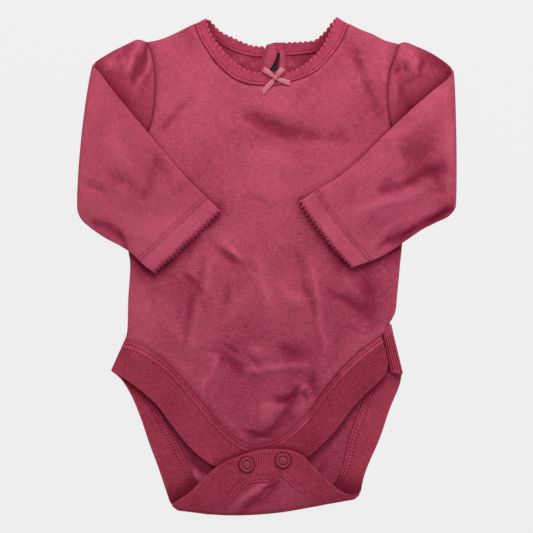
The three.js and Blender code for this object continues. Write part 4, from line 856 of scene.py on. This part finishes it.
rim_z -= 0.9 * ease(0.985, 1, share)


def rib_open(edge):
    """How far the rib is stretched open: most at the right leg and at the left hip, less on the flap and the back."""
    front = 0.35 + np.maximum(1.0 * ease(8, 40, edge[:, 0]), 0.55 * ease(-82, -102, edge[:, 0]))
    return np.where(edge[:, 2] > FLAP_FOLD + 2, 0.45, np.where(edge[:, 2] < 1.5, 0.4, front))


def band_shade(at):
    """Painted shade on the back band: a little darker all over; on its lower part, under the front band, inside the
    flap and under the end of the hip piece; elsewhere, beside the turned hip piece and round the studs.
    """
    xy = at[:, :2]
    under = (-0.8 * beside(xy, 5, FRONT_LEG_EDGE) - 1.5 * beside(xy, 9, FLAP_EDGE)
             - 1.9 * beside(xy, 3.4, [(94, -80), (104, -84)]))
    stud_ring_shade = sum(bell(np.hypot(xy[:, 0] - x, xy[:, 1] - y) - 5.9, 0.8) for x, y in STUDS.values())
    hip_turn_shade = -1.4 * beside(xy, 2.6, [(87.5, -50), (93.5, -78)])
    return -0.2 + np.where((at[:, 2] < FLAP_FOLD) & (xy[:, 1] < -84), under, hip_turn_shade - 0.2 - 1.5 * stud_ring_shade)


# Painted shade on the front leg band: darker all along and more towards the right, and darkest beside the flap's edge.
leg_front, leg_front_face = band(
    "leg_band_front_rib", [flat_run(seam_xy, rim_xy, seam_z, rim_z, -1)], RIB_PITCH, RIB_RISE, LEG_ROWS, show=rib_open,
    painted_shade=lambda at: -0.3 - 0.4 * ease(0, 40, at[:, 0]) - 1.0 * beside(at[:, :2], 3, FLAP_EDGE),
    corners=[(*FRONT_LEG_EDGE[-1], 4, 3)], square=0.9, columns=23, per_rib=5)
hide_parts("leg_band_front")

down_seam, down_rim = trimmed(BACK_LEG_LEFT, BACK_LEG_LEFT_EDGE, 0, 0, 240)
flap_seam, flap_rim = trimmed(FLAP_SEAM, FLAP_EDGE, 0, 0, 300)
up_seam, up_rim = trimmed(BACK_LEG_RIGHT, BACK_LEG_RIGHT_EDGE, 0, 0, 240)
below = np.array([0.0, -1.0])
hip_out = unit(np.array([up_seam[-1][1] - up_rim[-1][1], up_rim[-1][0] - up_seam[-1][0]]))
hip_seam, hip_rim = (np.array([p], float) for p in HIP_FRONT_END)
back_stations = [
    flat_run(down_seam, down_rim, 0, 0, 1),
    folded_over((down_seam[-1] + flap_seam[0]) / 2, (down_rim[-1] + flap_rim[0]) / 2, below, FLAP_FOLD),
    flat_run(flap_seam, flap_rim, flap_height(flap_seam[:, 1]), flap_height(flap_rim[:, 1]), -1),
    folded_over((flap_seam[-1] + up_seam[0]) / 2, (flap_rim[-1] + up_rim[0]) / 2, below, FLAP_FOLD, back=True),
    flat_run(up_seam, up_rim, 0, 0, 1),
    folded_over(up_seam[-1], up_rim[-1], hip_out, HIP_FOLD, edge_share=0.35),
    flat_run(hip_seam, hip_rim, 2 * HIP_FOLD, 2 * HIP_FOLD, -1)]
leg_back, leg_back_face = band(
    "leg_band_back_rib", back_stations, RIB_PITCH, RIB_RISE, LEG_ROWS, show=rib_open, painted_shade=band_shade,
    corners=[(-73.2, -186, 3.6, 5.5), (72, -177, 3.4, 4.5), (105, -84, 4, 1.8)])
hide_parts("leg_band_back")

# Back opening: two facings of jersey are stitched beside the keyhole, and the plain end of the right neck band goes
# under the left one, where a press stud joins them.
FACING_THICK = 0.8
TAB_THICK = 1.2
STRIP_COLUMNS = 16
STRIP_CROWN = 0.25
SEWN_COLUMN = 4  # the stitching is this many columns from a facing's edge
FACINGS = {  # left x, right x, y, z of the lower face
    "left": [(0.5, 8, 169.3, 1.9), (-1, 8, 166.5, 1.9), (-2.5, 8, 161, 1.9), (-5, 5.8, 155, 1.5), (-7, 2.6, 150, 1.3),
             (-7.1, 2.4, 149.5, 1.3), (-7.3, 5.6, 148.3, 1.3), (-7.5, 5.6, 146, 1.3)],
    "right": [(10, 14, 165, 1.9), (10, 14.5, 160, 1.9), (9.3, 16, 154, 1.5), (8.4, 17, 150, 1.3),
              (8.3, 17.1, 149.5, 1.3), (5.8, 17.3, 148.3, 1.3), (5.8, 17.5, 146, 1.3)],
    "tab": [(0.5, 14.3, 162.6, 0.2), (-0.8, 14.3, 166, 0.2), (2, 14.3, 169.5, 0.2), (6, 14.3, 170.8, 0.2)]}


def strip_piece(name, rows, thick, material, sewn=None, count=40):
    """A narrow strip of cloth with rounded, slightly crowned edges."""
    line = at_shares(smooth_line(rows), np.linspace(0, 1, count))
    share = (1 - np.cos(np.linspace(0, np.pi, STRIP_COLUMNS))) / 2
    x = line[:, :1] * (1 - share) + line[:, 1:2] * share
    rounding = np.sqrt(np.clip(1 - (2 * share - 1) ** 6, 0, 1))
    plan = np.dstack([x, np.repeat(line[:, 2:3], STRIP_COLUMNS, 1)])
    upper = np.dstack([plan, line[:, 3:4] + thick / 2 + (thick / 2 + STRIP_CROWN * share * (1 - share)) * rounding])
    lower = np.dstack([plan, line[:, 3:4] + thick / 2 - thick / 2 * rounding - 0.02])
    # Painted shade: a little darker all over, darker at the rounded edges and towards the last rows, and darker along
    # the stitched column.
    shade_and_tone_values = -0.15 - 1.3 * (1 - rounding) - 0.5 * np.linspace(0, 1, count)[:, None] ** 3
    if sewn is not None:
        shade_and_tone_values = shade_and_tone_values - 1.1 * (np.arange(STRIP_COLUMNS) == sewn % STRIP_COLUMNS)
    piece = cloth_piece(name, upper, lower, plan, material, painted_shade_and_tone=np.broadcast_to(shade_and_tone_values, plan.shape[:2]).copy())
    return piece, upper


facing_left, left_face = strip_piece("keyhole_facing_left_cloth", FACINGS["left"], FACING_THICK, jersey,
                                     SEWN_COLUMN)
facing_right, right_face = strip_piece("keyhole_facing_right_cloth", FACINGS["right"], FACING_THICK, jersey,
                                       -1 - SEWN_COLUMN)
tab, _ = strip_piece("neck_tab_rib", FACINGS["tab"], TAB_THICK, rib_knit, count=20)
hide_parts("keyhole_facing_left")
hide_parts("keyhole_facing_right")
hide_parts("neck_tab")

# Cuff edging: a cord of cotton thread worked in small loops along each cuff's hem.
LOOP_PITCH = 3.5
LOOP_DEEP = 1.55
LOOP_POINTS = 12
CORD_RADIUS = 0.46
CORD_SIDES = 7


def wheel(side, up, count):
    """Directions all round each of many points, from one across it and one up from it."""
    turn = 2 * np.pi * np.arange(count)[None, :, None] / count
    return side[:, None] * np.cos(turn) + up[:, None] * np.sin(turn)


def cord_rings(path):
    """Rings of points round a thread that follows the closed path, with its sides kept level."""
    run = unit(np.roll(path, -1, 0) - np.roll(path, 1, 0))
    side = unit(np.cross(run, [0.0, 0.0, 1.0]))
    return path[:, None] + CORD_RADIUS * wheel(side, np.cross(side, run), CORD_SIDES)


def joined_mesh(name, points, faces, material, replaces=()):
    """One object from many small closed pieces."""
    mesh = bpy.data.meshes.new(name)
    mesh.from_pydata((np.asarray(points) * MM).tolist(), [], faces)
    piece = placed(name, mesh, material)
    if replaces:
        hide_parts(*replaces)
    return piece


def ring_faces(first, rings, sides, closed=False):
    """Quads between rings of points, whose numbers start at first. With closed, the last ring joins the first one."""
    steps = ((0, 0), (1, 0), (1, 1), (0, 1))
    return [tuple(first + (i + a) % rings * sides + (j + b) % sides for a, b in steps)
            for i in range(rings if closed else rings - 1) for j in range(sides)]


def thread_material(name, colour, sheen=0.1):
    material, tree = blank_material(name)
    place = add_node(tree, "ShaderNodeTexCoord").outputs["Object"]
    twist = add_node(tree, "ShaderNodeTexNoise", {"Vector": place, "Scale": 900, "Detail": 2}).outputs[0]
    wash = add_node(tree, "ShaderNodeTexNoise", {"Vector": place, "Scale": 60, "Detail": 2}).outputs[0]
    tone = sums(tree, "MULTIPLY_ADD", wash, 0.7, sums(tree, "MULTIPLY_ADD", twist, 0.5, -0.1))
    dark, light = tuple(0.72 * c for c in colour), tuple(1.25 * c for c in colour)
    shade = add_node(tree, "ShaderNodeMix", {0: tone, 6: (*dark, 1), 7: (*light, 1)}, data_type="RGBA").outputs[2]
    bump = add_node(tree, "ShaderNodeBump", {"Height": twist, "Strength": 0.5, "Distance": 0.00015})
    cloth = add_node(tree, "ShaderNodeBsdfPrincipled", {
        "Base Color": shade, "Roughness": 0.8, "Sheen Weight": sheen, "Sheen Tint": (0.9, 0.4, 0.5, 1),
        "Specular IOR Level": 0.15, "Normal": bump.outputs[0]})
    add_node(tree, "ShaderNodeOutputMaterial", {"Surface": cloth.outputs[0]})
    return material


edging_thread = thread_material("edging_thread", (0.40, 0.052, 0.092))
for side, rings in sleeve_rings.items():
    rim = rings[-1]
    centre = rim.mean(0)
    ahead = unit(rings[-1] - rings[-3])
    loop = np.vstack([rim, rim[:1]])
    around = run_length(loop)
    count = round(around[-1] / LOOP_PITCH)
    at = np.linspace(0, around[-1], count * LOOP_POINTS, endpoint=False)
    base = sampled(loop, around, at)
    base[:, 2] += (centre[2] - base[:, 2]) * 0.12
    lead = sampled(np.vstack([ahead, ahead[:1]]), around, at)
    arch = np.sin(np.pi * count * at / around[-1]) ** 2
    cords = [base + lead * (0.1 + deep * arch**1.3)[:, None] for deep in (0, 0.5 * LOOP_DEEP, LOOP_DEEP)]
    points = np.vstack([cord_rings(cord).reshape(-1, 3) for cord in cords])
    faces = [face for k in range(len(cords))
             for face in ring_faces(k * len(at) * CORD_SIDES, len(at), CORD_SIDES, closed=True)]
    joined_mesh(f"cuff_edging_{side}_thread", points, faces, edging_thread, [f"cuff_edging_{side}"])

# Stitching: rows of cotton thread at the leg bands, the neck, the cuffs' hems and the keyhole's facings.
STITCH_LONG = 1.7
STITCH_RADIUS = 0.36


def spindles(start, end, up, radius):
    """Short threads between pairs of points, thicker in the middle and half sunk in the cloth."""
    round_it = wheel(unit(np.cross(end - start, up)), up, 5)
    rings = [(start - up * radius * 0.7)[:, None]]
    for share, swell in ((0.2, 0.8), (0.5, 1.0), (0.8, 0.8)):
        middle = start * (1 - share) + end * share + up * radius * 0.3 * swell
        rings.append(middle[:, None] + radius * swell * round_it)
    rings.append((end - up * radius * 0.7)[:, None])
    points = np.concatenate(rings, 1)
    each = []
    for j in range(5):
        n = (j + 1) % 5
        each += [(0, 1 + n, 1 + j), (16, 11 + j, 11 + n), (1 + j, 1 + n, 6 + n, 6 + j), (6 + j, 6 + n, 11 + n, 11 + j)]
    return points.reshape(-1, 3), [tuple(17 * k + i for i in face) for k in range(len(points)) for face in each]


def stitch_row(path, out, pitch=STITCH_PITCH, long=STITCH_LONG, radius=STITCH_RADIUS):
    """Running stitches along a line."""
    run = run_length(path)
    at = np.arange(pitch, run[-1] - pitch * 0.5, pitch)
    return spindles(sampled(path, run, at - long / 2), sampled(path, run, at + long / 2), sampled(out, run, at), radius)


def bar_row(near, far, out, pitch=2.2, radius=0.24):
    """Overlock bars that cross from one line to the other."""
    run = run_length(near)
    at = np.arange(pitch, run[-1] - pitch * 0.5, pitch)
    return spindles(*(sampled(line, run, at) for line in (near, far, out)), radius)


def stitched(name, made, material):
    points, faces, first = [], [], 0
    for row_points, row_faces in made:
        faces += [tuple(first + i for i in face) for face in row_faces]
        points.append(row_points)
        first += len(row_points)
    return joined_mesh(name, np.vstack(points), faces, material)


def on_sleeve(rings, from_cuff):
    """The line round a sleeve at that distance from its cuff."""
    far = cuff_distance(rings)
    i, k = (far >= from_cuff).sum(0) - 1, np.arange(rings.shape[1])
    f = ((far[i, k] - from_cuff) / (far[i, k] - far[i + 1, k]))[:, None]
    out = grid_normals(rings, True)[i, k]
    if ((rings[i, k] - rings[i, k].mean(0)) * out).sum() < 0:
        out = -out
    line = rings[i, k] * (1 - f) + rings[i + 1, k] * f + out * 0.05
    return np.vstack([line, line[:1]]), np.vstack([out, out[:1]])


sewing_thread = thread_material("sewing_thread", (0.215, 0.016, 0.038), 0)
stitched("leg_band_front_stitches", [stitch_row(*leg_front_face(deep)) for deep in LEG_ROWS], sewing_thread)
bars = bar_row(leg_back_face(-0.3, True)[0], *leg_back_face(1.5, True))
stitched("leg_band_back_stitches", [stitch_row(*leg_back_face(deep, inner)) for deep in LEG_ROWS
                                    for inner in (False, True)] + [bars], sewing_thread)
stitched("neck_band_stitches", [stitch_row(*neck_face(NECK_ROWS[0], inner)) for inner in (False, True)], sewing_thread)
hem_thread = thread_material("hem_thread", (0.27, 0.026, 0.052))
stitched("cuff_stitches", [stitch_row(*on_sleeve(rings, far_in), 2.5, 1.5, 0.34) for rings in sleeve_rings.values()
                           for far_in in HEM_ROWS], hem_thread)
beside_slit = [line + [0, 0, 0.05] for line in (left_face[:, SEWN_COLUMN], right_face[:, -1 - SEWN_COLUMN])]
stitched("keyhole_stitches", [stitch_row(line, facing(len(line), 1), 1.9, 1.25, 0.34) for line in beside_slit],
         sewing_thread)

# Bow: a length of narrow satin ribbon tied in a bow and sewn to the middle of the front neck band.
KNOT = (6.5, 143.3, 5.6)
KNOT_ROUND, KNOT_RINGS = 24, 13
RIBBON_WIDE = 4.0
RIBBON_THICK = 0.35
RIBBON_ROWS, RIBBON_COLUMNS = 48, 11
SATIN = (0.50, 0.115, 0.17)
BOW_PARTS = {  # reach x, reach y, and the run as share of the reach, height, side shift and width share
    "loop_left": ((-8.6, 6.6), [(0.05, 0.5, 0, 0.55), (0.35, 0.5, 0.2, 0.85), (0.75, 0.5, 0.4, 1), (0.98, 1.1, 0.3, 1),
                                (0.95, 1.9, 0.1, 1), (0.6, 2.3, -0.2, 0.95), (0.05, 1.6, 0, 0.55)]),
    "loop_right": ((6.2, 6.9), [(0.05, 0.5, 0, 0.55), (0.35, 0.5, -0.2, 0.85), (0.75, 0.6, -0.3, 1),
                                (0.99, 1.2, -0.2, 1), (0.94, 2.0, 0.1, 1), (0.6, 2.4, 0.2, 0.95),
                                (0.05, 1.6, 0, 0.55)]),
    "tail_left": ((-9.6, -11.2), [(0.05, 0.5, 0, 0.55), (0.35, 0.5, 0.3, 0.9), (0.7, 0.1, 0, 1), (1, -0.3, 0, 1)]),
    "tail_right": ((11.4, -4.3), [(0.05, 0.5, 0, 0.55), (0.4, 0.6, -0.2, 0.9), (0.75, 0.4, 0.1, 1), (1, 0.1, 0.2, 1)])}


def satin_material():
    material, tree = blank_material("satin_ribbon")
    grain = add_node(tree, "ShaderNodeUVMap", uv_map="knit").outputs["UV"]
    split = add_node(tree, "ShaderNodeSeparateXYZ", {0: grain})
    cross = sums(tree, "SINE", sums(tree, "MULTIPLY", split.outputs[1], 2 * math.pi / 0.22))
    streak = add_node(tree, "ShaderNodeTexNoise", {"Vector": grain, "Scale": 1.5, "Detail": 2}).outputs[0]
    tone = sums(tree, "MULTIPLY_ADD", cross, 0.08, streak)
    light, dark = tuple(1.2 * c for c in SATIN), tuple(0.78 * c for c in SATIN)
    shade = add_node(tree, "ShaderNodeMix", {0: tone, 6: (*dark, 1), 7: (*light, 1)}, data_type="RGBA").outputs[2]
    bump = add_node(tree, "ShaderNodeBump", {"Height": cross, "Strength": 0.25, "Distance": 0.00008})
    cloth = add_node(tree, "ShaderNodeBsdfPrincipled", {
        "Base Color": shade, "Roughness": 0.34, "Sheen Weight": 0.3, "Sheen Roughness": 0.3, "Anisotropic": 0.6,
        "Normal": bump.outputs[0]})
    add_node(tree, "ShaderNodeOutputMaterial", {"Surface": cloth.outputs[0]})
    return material


satin = satin_material()
for part, (reach, rows) in BOW_PARTS.items():
    out = unit(np.array(reach))
    sideways = np.array([-out[1], out[0]])
    run = at_shares(smooth_line(rows), np.linspace(0, 1, RIBBON_ROWS))
    across_ribbon = np.linspace(-0.5, 0.5, RIBBON_COLUMNS)
    middle_xy = np.array(KNOT[:2]) + run[:, :1] * reach + sideways * run[:, 2:3]
    middle = np.column_stack([middle_xy, KNOT[2] + run[:, 1]])
    offset = across_ribbon[None, :, None] * RIBBON_WIDE * run[:, 3, None, None]
    surface = middle[:, None] + np.append(sideways, 0) * offset
    surface[..., 2] += 0.25 * np.cos(np.pi * across_ribbon)[None] * run[:, 3:4]
    if part.startswith("tail"):
        slant = across_ribbon * (2.4 if part == "tail_left" else -1.6)
        surface[..., :2] += out * (slant[None, :, None] * ease(0.5, 1, run[:, 0])[:, None, None])
    normal = grid_normals(surface)
    length = run_length(middle)
    ribbon_uv = np.dstack([np.repeat(across_ribbon[None] * RIBBON_WIDE, RIBBON_ROWS, 0),
                           np.repeat(length[:, None], RIBBON_COLUMNS, 1)])
    ribbon = cloth_piece(f"bow_{part}_ribbon", surface + normal * RIBBON_THICK / 2, surface - normal * RIBBON_THICK / 2,
                         ribbon_uv, satin)
    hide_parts(f"bow_{part}")
turn = np.linspace(0, 2 * np.pi, KNOT_ROUND + 1)[:-1]
knot_run = np.linspace(-1, 1, KNOT_RINGS)
knot_rings = np.array([[(KNOT[0] + 1.35 * math.cos(t) * (1 - 0.25 * s * s),
                         KNOT[1] + 1.75 * s,
                         KNOT[2] + 1.75 + 1.15 * math.sin(t) * (1 - 0.3 * s * s)) for t in turn] for s in knot_run])
knot_uv = np.dstack([np.repeat(np.linspace(0, 8, KNOT_ROUND + 1)[None], KNOT_RINGS, 0),
                     np.repeat(knot_run[:, None], KNOT_ROUND + 1, 1)])
knot_axis = knot_rings.mean(1, keepdims=True)
knot = cloth_piece("bow_knot_ribbon", knot_rings, knot_axis + (knot_rings - knot_axis) * 0.7, knot_uv, satin,
                   closed=True)
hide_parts("bow_knot")

# Press studs: enamelled ring caps on the flap, each held by the prongs of a socket under the cloth.
CAP_ROUND, CAP_RINGS = 64, 59
CAP_PROFILE = [(0, 1.3), (1.5, 1.25), (2.5, 1.05), (2.95, 0.55), (3.3, 0.1), (3.65, 0.5), (4.05, 1.15), (4.5, 1.4),
               (5.0, 1.25), (5.35, 0.8), (5.5, 0.3), (5.5, -0.2)]


def enamel_material():
    material, tree = blank_material("pink_enamel")
    place = add_node(tree, "ShaderNodeTexCoord").outputs["Object"]
    scuff = add_node(tree, "ShaderNodeTexNoise", {"Vector": place, "Scale": 500, "Detail": 4}).outputs[0]
    shade = add_node(tree, "ShaderNodeMix", {0: scuff, 6: (0.22, 0.024, 0.046, 1), 7: (0.38, 0.056, 0.092, 1)},
                     data_type="RGBA").outputs[2]
    bump = add_node(tree, "ShaderNodeBump", {"Height": scuff, "Strength": 0.15, "Distance": 0.0001})
    rough = sums(tree, "MULTIPLY_ADD", scuff, 0.25, 0.40)
    paint = add_node(tree, "ShaderNodeBsdfPrincipled", {"Base Color": shade, "Roughness": rough,
                                                       "Specular IOR Level": 0.25, "Normal": bump.outputs[0]})
    add_node(tree, "ShaderNodeOutputMaterial", {"Surface": paint.outputs[0]})
    return material


enamel = enamel_material()
for side, (x, y) in STUDS.items():
    profile = at_shares(smooth_line(CAP_PROFILE), np.linspace(0, 1, CAP_RINGS + 1))[1:]
    turn = 2 * np.pi * np.arange(CAP_ROUND) / CAP_ROUND
    base = flap_height(y) + 0.05
    points = [(x, y, base + CAP_PROFILE[0][1])] + [(x + r * math.cos(t), y + r * math.sin(t), base + h)
                                                  for r, h in profile for t in turn] + [(x, y, base - 0.2)]
    last = len(points) - 1
    rim = last - CAP_ROUND
    faces = [(0, 1 + k, 1 + (k + 1) % CAP_ROUND) for k in range(CAP_ROUND)] + ring_faces(1, CAP_RINGS, CAP_ROUND)
    faces += [(last, rim + (k + 1) % CAP_ROUND, rim + k) for k in range(CAP_ROUND)]
    joined_mesh(f"stud_cap_{side}_enamel", points, faces, enamel, [f"stud_cap_{side}"])
for name in ("stud_socket_left", "stud_socket_right", "neck_stud"):
    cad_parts[name].data.materials.clear()
    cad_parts[name].data.materials.append(enamel)

# Table, camera and light: a plain pale table with a dark face under the keyhole, where hardly any light gets in, and a
# camera straight above as in the photograph. A large soft light comes from the neck end and a weak cool one from the
# right, with an even fill.
TABLE_HALF = 3
SHADE_FACE = (-0.006, 0.144, 0.018, 0.166)
CAMERA_HIGH = 1.3
CLOTH_HIGH = 0.006
VIEW_WIDE = 0.405
table = bpy.data.objects.new("table", bpy.data.meshes.new("table"))
corners = []
for x0, y0, x1, y1, z in ((-TABLE_HALF, -TABLE_HALF, TABLE_HALF, TABLE_HALF, 0), (*SHADE_FACE, 0.0001)):
    corners += [(x0, y0, z), (x1, y0, z), (x1, y1, z), (x0, y1, z)]
table.data.from_pydata(corners, [], [(0, 1, 2, 3), (4, 5, 6, 7)])
bpy.context.scene.collection.objects.link(table)
table.location.z = -0.0002
pale, tree = blank_material("pale_table")
paint = add_node(tree, "ShaderNodeBsdfDiffuse", {"Color": (0.86, 0.86, 0.86, 1)}).outputs[0]
glow = add_node(tree, "ShaderNodeEmission", {"Color": (0.863, 0.863, 0.863, 1), "Strength": 1.0}).outputs[0]
blend = add_node(tree, "ShaderNodeMixShader", {0: 0.03, 1: glow, 2: paint}).outputs[0]
add_node(tree, "ShaderNodeOutputMaterial", {"Surface": blend})
shaded = bpy.data.materials.new("shaded_table")
shaded.use_nodes = True
shaded.node_tree.nodes["Principled BSDF"].inputs["Base Color"].default_value = (0.03, 0.006, 0.010, 1)
shaded.node_tree.nodes["Principled BSDF"].inputs["Roughness"].default_value = 0.9
table.data.materials.append(pale)
table.data.materials.append(shaded)
table.data.polygons[1].material_index = 1
table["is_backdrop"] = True


def area_light(name, place, aim, size, energy, colour=(1, 1, 1)):
    """A soft rectangular light. aim points from what it lights back to it."""
    light = bpy.data.objects.new(name, bpy.data.lights.new(name, "AREA"))
    light.data.shape = "RECTANGLE"
    light.data.size, light.data.size_y = size
    light.data.energy, light.data.color = energy, colour
    light.location = place
    light.rotation_euler = Vector(aim).to_track_quat("Z", "Y").to_euler()
    bpy.context.scene.collection.objects.link(light)


world = bpy.data.worlds.new("studio")
bpy.context.scene.world = world
world.use_nodes = True
world.node_tree.nodes["Background"].inputs[0].default_value = (1, 0.84, 0.89, 1)
world.node_tree.nodes["Background"].inputs[1].default_value = 0.47
area_light("window", (-0.04, 0.56, 0.50), (-0.04, 0.50, 0.50), (0.42, 0.36), 4.05)
area_light("side_light", (0.72, 0.05, 0.34), (0.72, 0.05, 0.34), (0.4, 0.3), 1.9, (0.86, 0.78, 1.0))
camera = bpy.data.objects.new("camera", bpy.data.cameras.new("camera"))
camera.location = (0, 0, CAMERA_HIGH)
camera.data.lens = camera.data.sensor_width * (CAMERA_HIGH - CLOTH_HIGH) / VIEW_WIDE
bpy.context.scene.collection.objects.link(camera)
bpy.context.scene.camera = camera
bpy.context.scene.view_settings.view_transform = "Standard"

[list(corner) for corner in cad_box]
[list(corner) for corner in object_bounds()]
